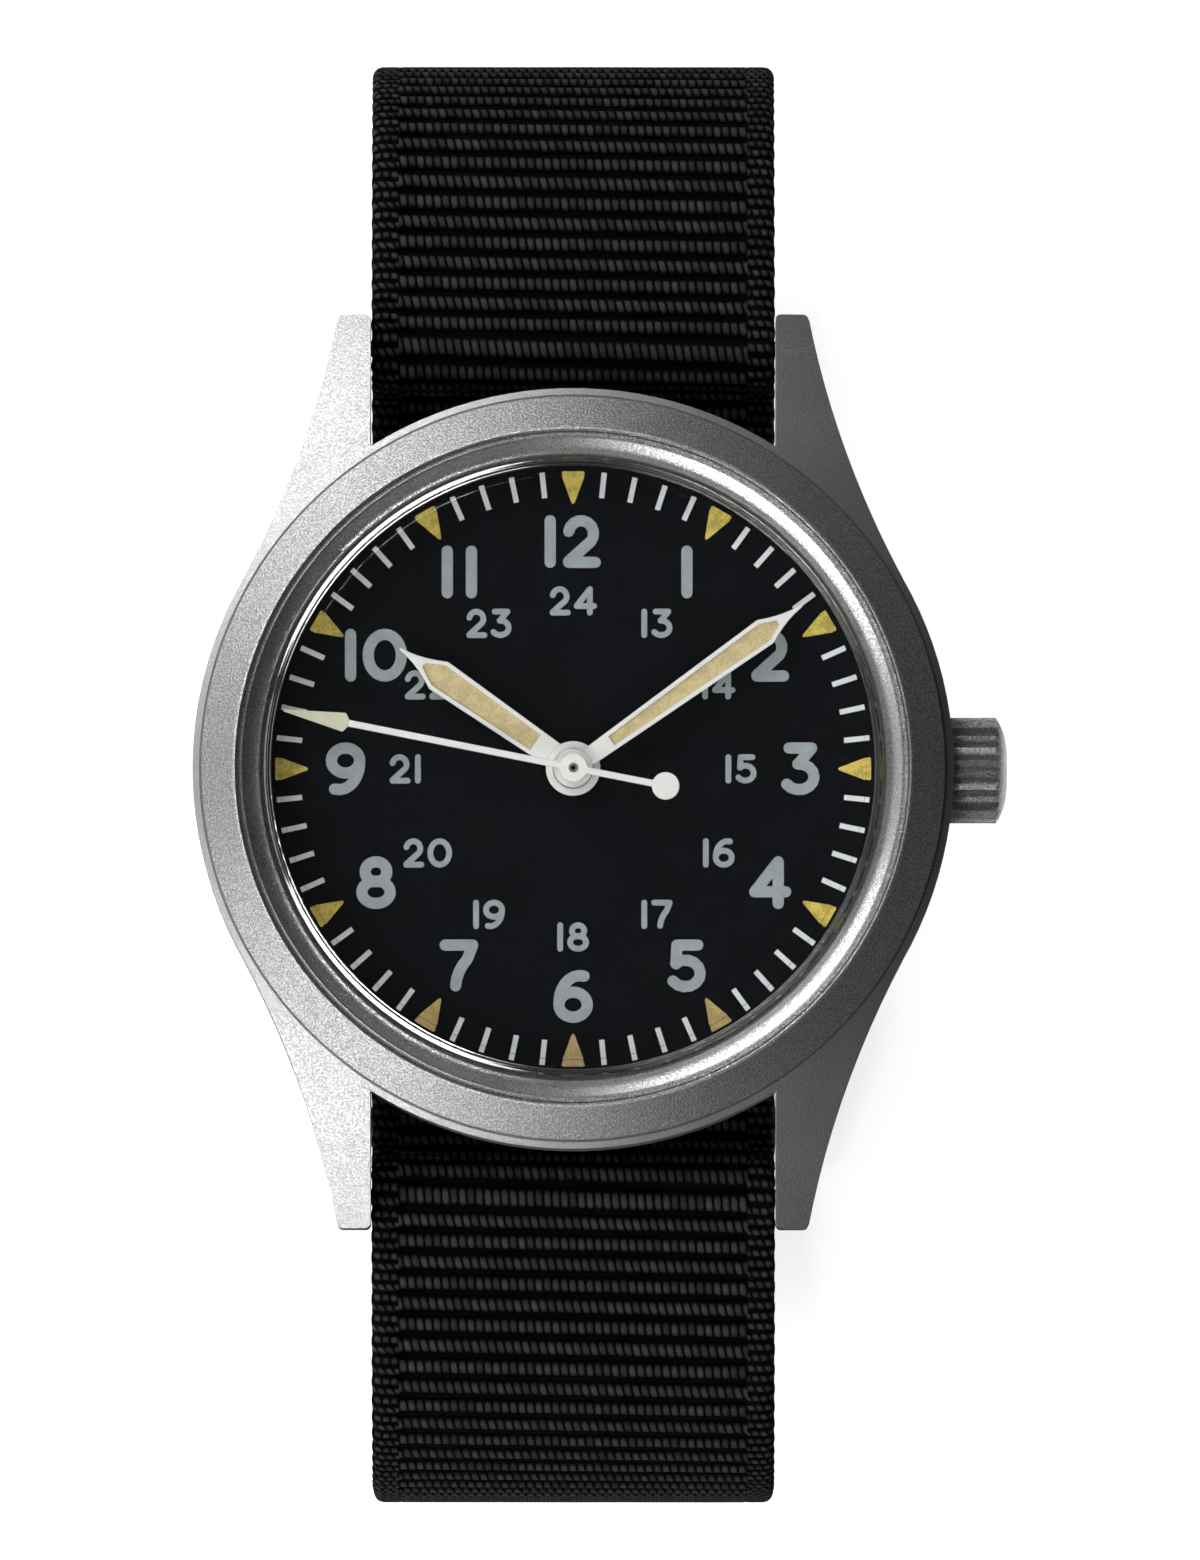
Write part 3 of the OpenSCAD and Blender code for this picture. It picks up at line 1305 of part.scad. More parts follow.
module buckle_bar() {
    half = web_w / 2 + 0.3 + arm_w;
    color([0.6, 0.6, 0.6]) translate([-half, pin_y, pin_z]) rotate([0, 90, 0])
        cylinder(r = pin_d / 2, h = 2 * half);
}

module buckle_tongue() {
    half = 0.55;
    color([0.66, 0.67, 0.68]) translate([-half, 0, 0]) upright() linear_extrude(2 * half) difference() {
        union() {
            translate([pin_y, pin_z]) circle(r = pin_d / 2 + 0.45);
            polygon([
                [pin_y, pin_z + pin_d / 2 + 0.3], [pin_y - 0.6, pin_z + 0.2], [front_y + 2.2, 0.85],
                [front_y + 0.4, 0.75], [front_y + 0.2, 0.5], [front_y + 0.4, 0.1], [front_y + 2.4, 0.1],
                [pin_y, pin_z - pin_d / 2 - 0.4]
            ]);
        }
        translate([pin_y, pin_z]) circle(r = pin_d / 2 + 0.05);
    }
}

// Spring bars

tube_end = lug_in - 0.15;
tip_back = 1.5;

module spring_bar_tubes() {
    color([0.7, 0.7, 0.72]) head() both_y() translate([-tube_end, bar_y, bar_z]) rotate([0, 90, 0])
        washer(bar_r, bar_r - 0.2, 2 * tube_end);
}

// Telescoping tip with a thinner pin that enters the lug
module bar_tip(sx, sy) {
    color([0.75, 0.75, 0.77]) head() mirror([sx > 0 ? 0 : 1, 0, 0]) mirror([0, sy > 0 ? 0 : 1, 0])
        translate([tube_end - tip_back, bar_y, bar_z]) rotate([0, 90, 0]) {
            cylinder(r = bar_r - 0.2 - fit, h = tip_back - 0.2);
            cylinder(r = bar_hole_r - 0.05, h = tip_back + 0.15 + bar_hole_l - 0.1);
        }
}

module bar_tip_12_left() {
    bar_tip(-1, 1);
}

module bar_tip_12_right() {
    bar_tip(1, 1);
}

module bar_tip_6_left() {
    bar_tip(-1, -1);
}

module bar_tip_6_right() {
    bar_tip(1, -1);
}

module spring_bar_springs() {
    half = tube_end - tip_back - 0.02;
    color([0.6, 0.6, 0.62]) head() both_y() translate([-half, bar_y, bar_z]) rotate([0, 90, 0])
        washer(bar_r - 0.25, bar_r - 0.4, 2 * half);
}

mid_case();
bezel();
crystal();
crystal_gasket();
case_back();
case_back_gasket();
crown_tube();
crown_gasket();
crown();
stem();
winding_pinion();
clutch();
setting_lever();
yoke();
setting_wheel();
dial();
minute_track();
hour_markers();
dial_numerals();
movement_ring();
main_plate();
barrel_bridge();
train_bridge();
balance_cock();
bridge_screws();
jewels();
hour_hand();
hour_hand_lume();
minute_hand();
minute_hand_lume();
second_hand();
second_hand_lume();
center_wheel();
cannon_pinion();
minute_wheel();
hour_wheel();
seconds_wheel();
third_wheel();
escape_wheel();
pallet_fork();
balance_wheel();
hairspring();
barrel_drum();
mainspring();
barrel_arbor();
ratchet_wheel();
crown_wheel();
click();
spring_bar_tubes();
bar_tip_12_left();
bar_tip_12_right();
bar_tip_6_left();
bar_tip_6_right();
spring_bar_springs();
strap_band();
fixed_keeper();
sliding_keeper();
buckle_frame();
buckle_bar();
buckle_tongue();
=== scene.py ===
"""Military field watch on a one-piece black nylon strap, dressed for pictures.

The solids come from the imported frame. This file gives each of them its finish, weaves the strap
and its two loops, sews the fold, and sets up the studio. The strap's lengths are millimetres until
its mesh is made. Shaders, settings and lamps are in metres, and MM is a millimetre in them.
"""

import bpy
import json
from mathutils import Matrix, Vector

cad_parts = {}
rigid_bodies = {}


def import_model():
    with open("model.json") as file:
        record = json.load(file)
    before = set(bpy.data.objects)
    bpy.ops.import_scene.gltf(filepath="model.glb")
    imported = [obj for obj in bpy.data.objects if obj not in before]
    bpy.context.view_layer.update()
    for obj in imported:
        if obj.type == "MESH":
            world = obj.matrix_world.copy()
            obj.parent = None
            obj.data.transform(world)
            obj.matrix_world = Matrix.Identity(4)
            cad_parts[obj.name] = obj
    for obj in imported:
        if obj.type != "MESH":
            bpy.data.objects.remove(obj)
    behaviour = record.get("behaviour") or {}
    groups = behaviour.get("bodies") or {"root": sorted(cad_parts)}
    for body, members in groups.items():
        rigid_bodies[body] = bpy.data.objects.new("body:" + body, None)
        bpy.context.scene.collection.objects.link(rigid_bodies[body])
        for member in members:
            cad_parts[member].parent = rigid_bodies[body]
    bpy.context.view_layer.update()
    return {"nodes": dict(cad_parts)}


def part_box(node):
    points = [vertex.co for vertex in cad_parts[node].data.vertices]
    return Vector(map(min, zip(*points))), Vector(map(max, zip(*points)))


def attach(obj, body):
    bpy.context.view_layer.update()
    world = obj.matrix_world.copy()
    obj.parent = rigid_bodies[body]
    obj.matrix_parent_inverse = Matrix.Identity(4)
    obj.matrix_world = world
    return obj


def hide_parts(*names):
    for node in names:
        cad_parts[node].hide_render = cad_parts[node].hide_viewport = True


bl_info = {
    "name": "Field Watch on Nylon Strap",
    "version": (1, 0, 0),
    "blender": (4, 5, 0),
    "location": "View3D > Sidebar > Watch",
    "description": "Finishes a field watch, weaves its strap and lights it",
    "category": "Object",
}

import json
import math

import bpy
import bmesh
from bpy.props import FloatProperty, FloatVectorProperty, PointerProperty
from mathutils import Vector

for leftover in list(bpy.data.objects):
    bpy.data.objects.remove(leftover)

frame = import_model()
watch = frame["nodes"]

MM = 0.001


# Shader and geometry trees


def arithmetic(operation, swapped=False):
    """A method that adds a Math node for a wire and another value."""

    def method(self, other):
        return self.tree.math(operation, *((other, self) if swapped else (self, other)))

    return method


class Wire:
    """An output socket. Arithmetic with wires and numbers adds Math nodes to its tree."""

    def __init__(self, tree, socket):
        self.tree = tree
        self.socket = socket

    def beside(self, name):
        """Another output of the same node."""
        return Wire(self.tree, self.socket.node.outputs[name])

    __add__, __radd__ = arithmetic("ADD"), arithmetic("ADD", True)
    __sub__, __rsub__ = arithmetic("SUBTRACT"), arithmetic("SUBTRACT", True)
    __mul__, __rmul__ = arithmetic("MULTIPLY"), arithmetic("MULTIPLY", True)
    __truediv__, __pow__ = arithmetic("DIVIDE"), arithmetic("POWER")


class Tree:
    """A node tree that is built one node per call. A material's tree knows its material."""

    def __init__(self, nodes, material=None):
        self.nodes = nodes
        self.material = material
        self.nodes.nodes.clear()

    def node(self, kind, settings=None, values=None, output=0):
        """Adds a node, gives it its settings, then its inputs, and returns one of its outputs."""
        made = self.nodes.nodes.new(kind)
        for name, value in (settings or {}).items():
            setattr(made, name, value)
        for key, value in (values or {}).items():
            self.feed(made.inputs[key], value)
        return Wire(self, made.outputs[output]) if made.outputs else None

    def feed(self, socket, value):
        """Links a wire to an input, or sets the input's own value."""
        if isinstance(value, Wire):
            self.nodes.links.new(value.socket, socket)
        else:
            socket.default_value = value

    def math(self, operation, *values):
        return self.node("ShaderNodeMath", {"operation": operation}, dict(enumerate(values)))

    def smooth(self, value, low, high):
        """0 below low, 1 above high, eased between them."""
        span = {"Value": value, "From Min": low, "From Max": high}
        return self.node("ShaderNodeMapRange", {"interpolation_type": "SMOOTHSTEP"}, span)

    def mix(self, factor, a, b):
        """A colour between a and b."""
        return self.node("ShaderNodeMix", {"data_type": "RGBA"}, {0: factor, 6: a, 7: b}, 2)

    def noise(self, place, size, detail=2.0, rough=0.5):
        """Noise with features of about size, on coordinates in the same unit."""
        values = {"Vector": place, "Scale": 1 / size, "Detail": detail, "Roughness": rough}
        return self.node("ShaderNodeTexNoise", {}, values)

    def split(self, place):
        """X of a place. Y and Z are beside it."""
        return self.node("ShaderNodeSeparateXYZ", {}, {0: place})

    def radius(self, place):
        """Distance of a place from the watch's axis."""
        x = self.split(place)
        y = x.beside("Y")
        return (x * x + y * y) ** 0.5

    def rounding(self, edge, samples=4):
        """Normals that soften sharp edges to a radius."""
        return self.node("ShaderNodeBevel", {"samples": samples}, {"Radius": edge})

    def bump(self, height, distance, normal=None):
        values = {"Height": height, "Distance": distance, "Strength": 1.0}
        if normal is not None:
            values["Normal"] = normal
        return self.node("ShaderNodeBump", {}, values)

    def principled(self, **sockets):
        """A Principled surface. Socket names are given in lower case with underscores."""
        shader = self.node("ShaderNodeBsdfPrincipled")
        inputs = [socket for socket in shader.socket.node.inputs if socket.enabled]
        names = {socket.name.lower().replace(" ", "_"): socket for socket in inputs}
        for key, value in sockets.items():
            self.feed(names[key], value)
        return shader

    def close(self, shader):
        """Puts a shader on the tree's material, which is returned."""
        self.node("ShaderNodeOutputMaterial", {}, {"Surface": shader})
        return self.material

    def finish(self, **sockets):
        """Closes the material with a Principled surface."""
        return self.close(self.principled(**sockets))


def rgba(colour, gain=1.0):
    return (*(min(1.0, c * gain) for c in colour), 1.0)


def new_material(name):
    """The empty tree of a new material, and the object's own coordinates in it."""
    made = bpy.data.materials.new(name)
    made.use_nodes = True
    tree = Tree(made.node_tree, made)
    return tree, tree.node("ShaderNodeTexCoord", {}, {}, "Object")


def background_rays(tree):
    """1 for rays that show the background itself: the camera's own, and those that glass passes on.
    Then 1 for rays that steel mirrors."""
    ray = tree.node("ShaderNodeLightPath", {}, {}, "Is Camera Ray")
    bounces = ray.beside("Diffuse Depth") + ray.beside("Glossy Depth")
    passed = ray.beside("Is Transmission Ray") * tree.math("LESS_THAN", bounces, 0.5)
    return tree.math("MAXIMUM", ray, passed), ray.beside("Is Glossy Ray")


# Finishes


def blasted_steel(
    name, colour, roughness, grain, edge, contrast=0.5, relief=0.016 * MM, ridge=0.0
):
    """Bead-blasted steel: a fine pitted grain, with softened edges. Inside the radius of a ridge
    round the watch's axis the steel is smoother."""
    t, place = new_material(name)
    fine = t.noise(place, grain, 3, 0.65)
    cloud = t.noise(place, 2.4 * MM, 3)
    pits = t.smooth(fine, 0.42, 0.6)
    tone = t.mix(pits, rgba(colour, 1 - 0.3 * contrast), rgba(colour, 1 + 0.14 * contrast))
    blasted = 1.0
    if ridge:
        blasted = t.smooth(t.radius(place), ridge - 0.1 * MM, ridge)
    return t.finish(
        base_color=tone,
        metallic=1.0,
        roughness=roughness
        + 0.1 * (cloud - 0.5)
        + 0.16 * (0.5 - pits)
        - 0.06 * (1 - blasted),
        normal=t.bump(fine * (0.15 + 0.85 * blasted), relief, t.rounding(edge, 8)),
    )


def turned_steel(name, colour, roughness, pitch, edge):
    """Steel with the fine rings that a lathe leaves, round the watch's axis."""
    t, place = new_material(name)
    rings = t.math("SINE", t.radius(place) * (2 * math.pi / pitch))
    fine = t.noise(place, 0.12 * MM, 3, 0.65)
    return t.finish(
        base_color=t.mix(fine, rgba(colour, 0.82), rgba(colour, 1.08)),
        metallic=1.0,
        roughness=roughness + 0.12 * (fine - 0.5),
        normal=t.bump(0.6 * rings + fine, 0.006 * MM, t.rounding(edge, 6)),
    )


def brushed_metal(name, colour, roughness, direction, edge=0.02 * MM, steel_above=None):
    """Metal with its grain drawn out along the axes marked 1. Above a height it may turn to plain
    steel, as the arbors do that carry the hands, with a near-black disc at the axis: painted shade
    of a centre hole that is not modelled."""
    t, place = new_material(name)
    scale = tuple(0.04 if drawn else 1.0 for drawn in direction)
    stretched = t.node("ShaderNodeMapping", {}, {"Vector": place, "Scale": scale})
    grain = t.noise(stretched, 0.05 * MM, 3, 0.6)
    tone = t.mix(grain, rgba(colour, 0.85), rgba(colour, 1.08))
    if steel_above:
        # Within about 0.1 mm of the axis the colour is near black: painted shade of a centre hole
        # that is not modelled.
        outside_hole_shade = t.smooth(t.radius(place), 0.08 * MM, 0.12 * MM)
        tip = t.mix(outside_hole_shade, rgba((0.01, 0.01, 0.01)), rgba((0.66, 0.66, 0.64)))
        above = t.smooth(t.split(place).beside("Z"), steel_above, steel_above + 0.05 * MM)
        tone = t.mix(above, tone, tip)
    return t.finish(
        base_color=tone,
        metallic=1.0,
        roughness=roughness + 0.2 * (grain - 0.5),
        normal=t.bump(grain, 0.003 * MM, t.rounding(edge)),
    )


def striped_nickel(name, colour, roughness, width):
    """Nickelled bridge with broad polished stripes."""
    t, place = new_material(name)
    axis = t.split(place)
    stripe = t.math("FRACT", (axis * 0.8 + axis.beside("Y") * 0.6) / width)
    grain = t.noise(place, 0.06 * MM, 3)
    return t.finish(
        base_color=t.mix(stripe, rgba(colour, 0.8), rgba(colour, 1.1)),
        metallic=1.0,
        roughness=roughness + 0.12 * stripe + 0.1 * (grain - 0.5),
        normal=t.bump(stripe * stripe * 0.5 + grain * 0.05, 0.02 * MM),
    )


def pearled_brass(name, colour, roughness, size):
    """Nickelled brass plate covered with small overlapping rounds."""
    t, place = new_material(name)
    values = {"Vector": place, "Scale": 1 / size, "Randomness": 0.15}
    rounds = t.node("ShaderNodeTexVoronoi", {"feature": "F1"}, values)
    swirl = t.math("SINE", rounds * 40)
    grain = t.noise(place, 0.06 * MM, 2)
    return t.finish(
        base_color=t.mix(rounds, rgba(colour, 1.06), rgba(colour, 0.8)),
        metallic=1.0,
        roughness=roughness + 0.08 * swirl + 0.1 * (grain - 0.5),
        normal=t.bump(swirl, 0.002 * MM),
    )


TURNING_PITCH = 0.17 * MM


def clear_acrylic(name, colour, shoulder):
    """Clear acrylic that lets the lamps through to the dial. Its rounded shoulder mirrors them
    strongly, as the reflector ring under the edge of such a crystal does."""
    t, place = new_material(name)
    haze = t.noise(place, 1.6 * MM, 2)
    radius = t.radius(place)
    ring = t.smooth(radius, shoulder - 0.02 * MM, shoulder + 0.05 * MM)
    turning = t.math("SINE", radius * (2 * math.pi / TURNING_PITCH)) * ring
    clear = t.principled(
        base_color=rgba(colour),
        metallic=0.42 * ring,
        roughness=0.015 + 0.02 * haze + 0.06 * ring,
        ior=1.49,
        transmission_weight=1.0,
        normal=t.bump(t.noise(place, 4 * MM, 1) + 2.2 * turning, 0.004 * MM),
    )
    lamp_ray = t.node("ShaderNodeLightPath", {}, {}, "Is Shadow Ray")
    through = t.node("ShaderNodeBsdfTransparent", {}, {"Color": rgba(colour, 0.97)})
    return t.close(t.node("ShaderNodeMixShader", {}, {0: lamp_ray, 1: clear, 2: through}))


def rubber(name, colour):
    """Dull rubber with a faint grain."""
    t, place = new_material(name)
    grain = t.noise(place, 0.15 * MM, 3)
    return t.finish(
        base_color=t.mix(grain, rgba(colour, 0.7), rgba(colour, 1.3)),
        roughness=0.6 + 0.2 * (grain - 0.5),
        normal=t.bump(grain, 0.01 * MM),
    )


def matt_paint(
    name, colour, roughness, mottle, grain=0.09 * MM, relief=0.006 * MM, patch=0.7 * MM, gloss=0.5
):
    """Paint with a fine grain and slow changes of tone."""
    t, place = new_material(name)
    fine = t.noise(place, grain, 3, 0.6)
    slow = t.noise(place, patch, 3, 0.6)
    tone = t.smooth(fine * 0.5 + slow * 0.5, 0.35, 0.65)
    return t.finish(
        base_color=t.mix(tone, rgba(colour, 1 - mottle), rgba(colour, 1 + mottle)),
        roughness=roughness + 0.12 * (fine - 0.5),
        normal=t.bump(fine, relief),
        specular_ior_level=gloss,
    )


def aged_lume(name, colour, dark, crust=0.05 * MM, low_colour=None):
    """Luminous paint gone warm with age: grainy, uneven and a little pitted. Toward 6 o'clock it
    may have another colour."""
    t, place = new_material(name)
    grains = t.node("ShaderNodeTexVoronoi", {}, {"Vector": place, "Scale": 1 / (0.12 * MM)})
    slow = t.noise(place, 0.45 * MM, 3, 0.6)
    fine = t.noise(place, 0.06 * MM, 2)
    age = t.smooth(slow + 0.35 * (grains - 0.4), 0.36, 0.68)
    tone = t.mix(age, rgba(dark), rgba(colour))
    if low_colour:
        lower = t.smooth(t.split(place).beside("Y") * -1, 7 * MM, 13 * MM)
        tone = t.mix(lower, tone, t.mix(age, rgba(low_colour, 0.75), rgba(low_colour)))
    return t.finish(
        base_color=tone,
        roughness=0.72 + 0.15 * (fine - 0.5),
        normal=t.bump(grains * 0.4 + fine * 0.4 + slow * 0.6, crust),
    )


def hand_enamel(name, colour, edge):
    """Satin white enamel, its rims painted darker: painted shade along the rounded edges."""
    t, place = new_material(name)
    fine = t.noise(place, 0.1 * MM, 2)
    rounded = t.rounding(edge, 8)
    flat = t.node("ShaderNodeNewGeometry", {}, {}, "Normal")
    both = {0: rounded, 1: flat}
    lean = t.node("ShaderNodeVectorMath", {"operation": "DOT_PRODUCT"}, both, "Value")
    # Where the softened normals lean from the flat face the colour is halved: painted shade on the
    # rims.
    rim = 1 - t.smooth(lean, 0.86, 0.995)
    tone = t.mix(rim, rgba(colour), rgba(colour, 0.5))
    return t.finish(
        base_color=tone,
        roughness=0.38 + 0.1 * (fine - 0.5),
        normal=t.bump(fine, 0.003 * MM, rounded),
        specular_ior_level=0.4,
    )


def ruby_jewel(name, colour):
    """Polished red stone."""
    t, place = new_material(name)
    depth = t.noise(place, 0.3 * MM, 2)
    return t.finish(
        base_color=t.mix(depth, rgba(colour, 0.6), rgba(colour, 1.2)),
        roughness=0.06 + 0.05 * depth,
        ior=1.76,
        coat_weight=0.3,
    )


def woven_nylon(name, half_width, loop, thread, gap):
    """Ribbed webbing. The UV map holds millimetres across the tape and ribs along it. Each rib is a
    row of slanted loops whose tops are painted lighter, a painted highlight, with near-black
    painted shade between them; along the edges the rows are half as high."""
    t, place = new_material(name)
    uv = t.split(t.node("ShaderNodeUVMap", {"uv_map": "weave"}))
    edge = t.math("GREATER_THAN", t.math("ABSOLUTE", uv), half_width - EDGE_W)
    along = uv.beside("Y") * (1 + edge)
    rib = t.math("FLOOR", along)
    height = along - rib - 0.5
    odd = t.math("MODULO", t.math("ABSOLUTE", rib), 2.0)
    steps = uv / loop + 0.5 * odd + (0.62 - 0.34 * odd) * height
    column = t.math("FLOOR", steps)
    side = steps - column - 0.5
    cell = t.node("ShaderNodeCombineXYZ", {}, {0: column, 1: rib, 2: 0.5})
    chance = t.node("ShaderNodeTexWhiteNoise", {"noise_dimensions": "3D"}, {"Vector": cell})
    hump = t.math("SQRT", t.math("MAXIMUM", 1 - (side / 0.47) ** 2.0, 0.0))
    shift = 0.04 * (chance - 0.5)
    arch = t.math("SQRT", t.math("MAXIMUM", 1 - ((height + shift) / 0.36) ** 2.0, 0.0))
    fibre = t.math("SINE", (side + 0.5 * height) * 30 + chance * 6)
    fuzz = t.noise(place, 0.05 * MM, 2)
    body = hump * arch
    # The loops' tops take the yarn colour, raised to a painted highlight; the rest takes the valley
    # colour, near-black painted shade.
    lit = t.smooth(body, 0.36, 0.98) * (0.5 + 0.5 * chance) * (0.75 + 0.25 * fibre)
    dust = t.smooth(t.noise(place, 0.9 * MM, 3), 0.5, 0.75)
    return t.finish(
        base_color=t.mix(lit, rgba(gap), t.mix(dust * 0.3, rgba(thread), rgba(thread, 1.8))),
        roughness=0.6 - 0.16 * lit + 0.1 * (fuzz - 0.5),
        normal=t.bump(body + 0.08 * fibre + 0.12 * (fuzz - 0.5), 0.16 * MM),
        specular_ior_level=0.08,
    )


def melted_nylon(name, colour):
    """Webbing edge sealed by heat: smooth, a little glossy and lumpy."""
    t, place = new_material(name)
    lumps = t.noise(place, 0.25 * MM, 3, 0.6)
    return t.finish(
        base_color=t.mix(lumps, rgba(colour, 0.6), rgba(colour, 1.3)),
        roughness=0.38 + 0.25 * (lumps - 0.5),
        normal=t.bump(lumps, 0.05 * MM),
    )


SEAM_COLOUR = (0.03, 0.03, 0.032)
TWIST_PITCH = 0.16 * MM


def sewing_thread(name, colour):
    """Twisted yarn of a seam."""
    t, place = new_material(name)
    axis = t.split(place)
    along = axis + axis.beside("Y") + axis.beside("Z")
    twist = t.math("SINE", along * (2 * math.pi / TWIST_PITCH))
    return t.finish(
        base_color=t.mix(twist * 0.5 + 0.5, rgba(colour, 0.5), rgba(colour, 1.4)),
        roughness=0.55 + 0.1 * twist,
        normal=t.bump(twist, 0.02 * MM),
        sheen_weight=0.1,
    )


def give(material, *names):
    """Puts a finish on CAD nodes."""
    for name in names:
        if name not in watch:
            raise RuntimeError(f"the frame has no node {name}")
        for slot in watch[name].material_slots:
            slot.material = material


# Strap path, the same as in the part's source, but for the tongue's extra room in its slot


WEB_W = 18.0
WEB_T = 1.0
LAYER_GAP = 0.1
KEEPER_T = 0.9
KEEPER_W = 4.0
BAR_Y = 19.0
BAR_R = 0.7
BAR_Z = 1.6
LOOP_HALF = 32.2
LEAVE_ANGLE = 22.0
LEAVE_L = 6.5
SIDE_L = 11.0
UNDER_R = 15.0
PIN_D = 1.0
PIN_Y = -6.2
FRAME_L = 9.4
FRAME_T = 1.6
FRONT_W = 1.8
RETURN_BEND = 35.0
RETURN_L = 5.2
ENTRY_BEND = 20.0
TAIL_END = 15.0
HOLES = (1, 2, 3)
HOLE_PITCH = 7.0
HOLE_R = 0.9
SLOT_HALF = 2.3
SLOT_W = 0.8
TONGUE_ROOM = 0.35
CORNER_CUT = 2.2 * math.sqrt(2)


def sine(degrees):
    return math.sin(math.radians(degrees))


def cosine(degrees):
    return math.cos(math.radians(degrees))


TAIL_Z = KEEPER_T + LAYER_GAP + WEB_T / 2
STRAND_Z = TAIL_Z + WEB_T + LAYER_GAP
ENTRY_Z = FRAME_T + LAYER_GAP + WEB_T / 2
FOLD_R = PIN_D / 2 + 0.05 + WEB_T / 2
BAR_FOLD_R = BAR_R + 0.15 + WEB_T / 2
DIP_R = 1.2
DIP_Y = BAR_Y - BAR_FOLD_R - DIP_R
LIFT = BAR_Z + LAYER_GAP + WEB_T / 2 - DIP_R
LEAVE_Y = BAR_Y + BAR_FOLD_R * sine(LEAVE_ANGLE) + LEAVE_L * cosine(LEAVE_ANGLE)
SHOULDER_R = (LOOP_HALF - WEB_T / 2 - LEAVE_Y) / (1 - sine(LEAVE_ANGLE))
DROP = (
    SHOULDER_R * cosine(LEAVE_ANGLE)
    + LEAVE_L * sine(LEAVE_ANGLE)
    - BAR_FOLD_R * cosine(LEAVE_ANGLE)
    + SIDE_L
    + UNDER_R
)
FLAT_Y = LOOP_HALF - WEB_T / 2 - UNDER_R
CASE_Z = STRAND_Z + DROP - BAR_Z
START_Z = CASE_Z - LAYER_GAP - WEB_T / 2
RETURN_R = (2 * FOLD_R - WEB_T - 0.05) / (2 * (1 - cosine(RETURN_BEND)))
FRONT_Y = PIN_Y - FRAME_L
ENTRY_R = (ENTRY_Z - TAIL_Z) / (2 * (1 - cosine(ENTRY_BEND)))
ENTRY_L = FLAT_Y + FRONT_Y + FRONT_W + 1
TAIL_L = FLAT_Y - ENTRY_L - 2 * ENTRY_R * sine(ENTRY_BEND) + TAIL_END
HOLE_Y = PIN_Y - 3.8


def straight(length):
    return (length, 0.0)


def bend(radius, turn):
    return (radius * math.radians(abs(turn)), math.radians(turn))


class Route:
    """One side of the strap's middle line, walked from under the case."""

    def __init__(self, legs):
        self.legs = legs
        self.length = sum(length for length, turn in legs)

    def at(self, distance):
        """Y, Z and heading after a distance, for the side toward 12 o'clock."""
        y, z, heading = 0.0, START_Z, 0.0
        for length, turn in self.legs:
            part = min(distance, length)
            if turn:
                radius = length / turn
                after = heading + turn * part / length
                y += radius * (math.sin(after) - math.sin(heading))
                z += radius * (math.cos(heading) - math.cos(after))
                heading = after
            else:
                y += part * math.cos(heading)
                z += part * math.sin(heading)
            distance -= part
            if distance <= 0:
                break
        return y, z, heading


OVER_BAR = [
    straight(DIP_Y),
    bend(DIP_R, 90),
    straight(LIFT),
    bend(BAR_FOLD_R, -90 - LEAVE_ANGLE),
    straight(LEAVE_L),
    bend(SHOULDER_R, LEAVE_ANGLE - 90),
]
BUCKLE_SIDE = Route(
    OVER_BAR
    + [
        straight(SIDE_L),
        bend(UNDER_R, -90),
        straight(FLAT_Y - PIN_Y),
        bend(FOLD_R, -180),
        bend(RETURN_R, -RETURN_BEND),
        bend(RETURN_R, RETURN_BEND),
        straight(RETURN_L),
    ]
)
TAIL_SIDE = Route(
    OVER_BAR
    + [
        straight(SIDE_L + STRAND_Z - ENTRY_Z),
        bend(UNDER_R, -90),
        straight(ENTRY_L),
        bend(ENTRY_R, ENTRY_BEND),
        bend(ENTRY_R, -ENTRY_BEND),
        straight(TAIL_L),
    ]
)


def strap_place(distance):
    """Middle point, direction across and outward normal of the strap. Distances toward the tail are
    negative."""
    if distance >= 0:
        y, z, heading = BUCKLE_SIDE.at(distance)
    else:
        y, z, heading = TAIL_SIDE.at(-distance)
        y, heading = -y, -heading
    return Vector((0, y, z)), Vector((1, 0, 0)), Vector((0, -math.sin(heading), math.cos(heading)))


def tail_distance(y):
    """Distance along the strap to a place in the tail's flat part, which ends at TAIL_END."""
    return -(TAIL_SIDE.length - (TAIL_END - y))


# Woven tape


RIB_ROWS = 8
RIB_HALF = 0.4
EDGE_W = 1.2
EDGE_BLEND = 0.2
EDGE_ROUND = 0.45
SCALLOP = 0.04
SEAL_L = 0.35
SEAL_ROWS = (0.02, 0.08, 0.2)


def rib_height(share):
    """Height of a rib, 0 to 1, for a place from 0 to 1 across it."""
    return math.sqrt(max(0.0, 1 - ((share - 0.5) / RIB_HALF) ** 2))


def edge_height(inward, seal):
    """Rounding of a tape's edge or sealed end, for a distance in from it."""
    return math.sqrt(max(0.0, 1 - (1 - min(inward, seal) / seal) ** 2))


def put(name, data):
    """A new object in the scene."""
    made = bpy.data.objects.new(name, data)
    bpy.context.scene.collection.objects.link(made)
    return made


def new_piece(name, points, edges, faces):
    """A mesh piece from points in metres."""
    mesh = bpy.data.meshes.new(name)
    mesh.from_pydata([tuple(p) for p in points], edges, faces)
    return put(name, mesh)


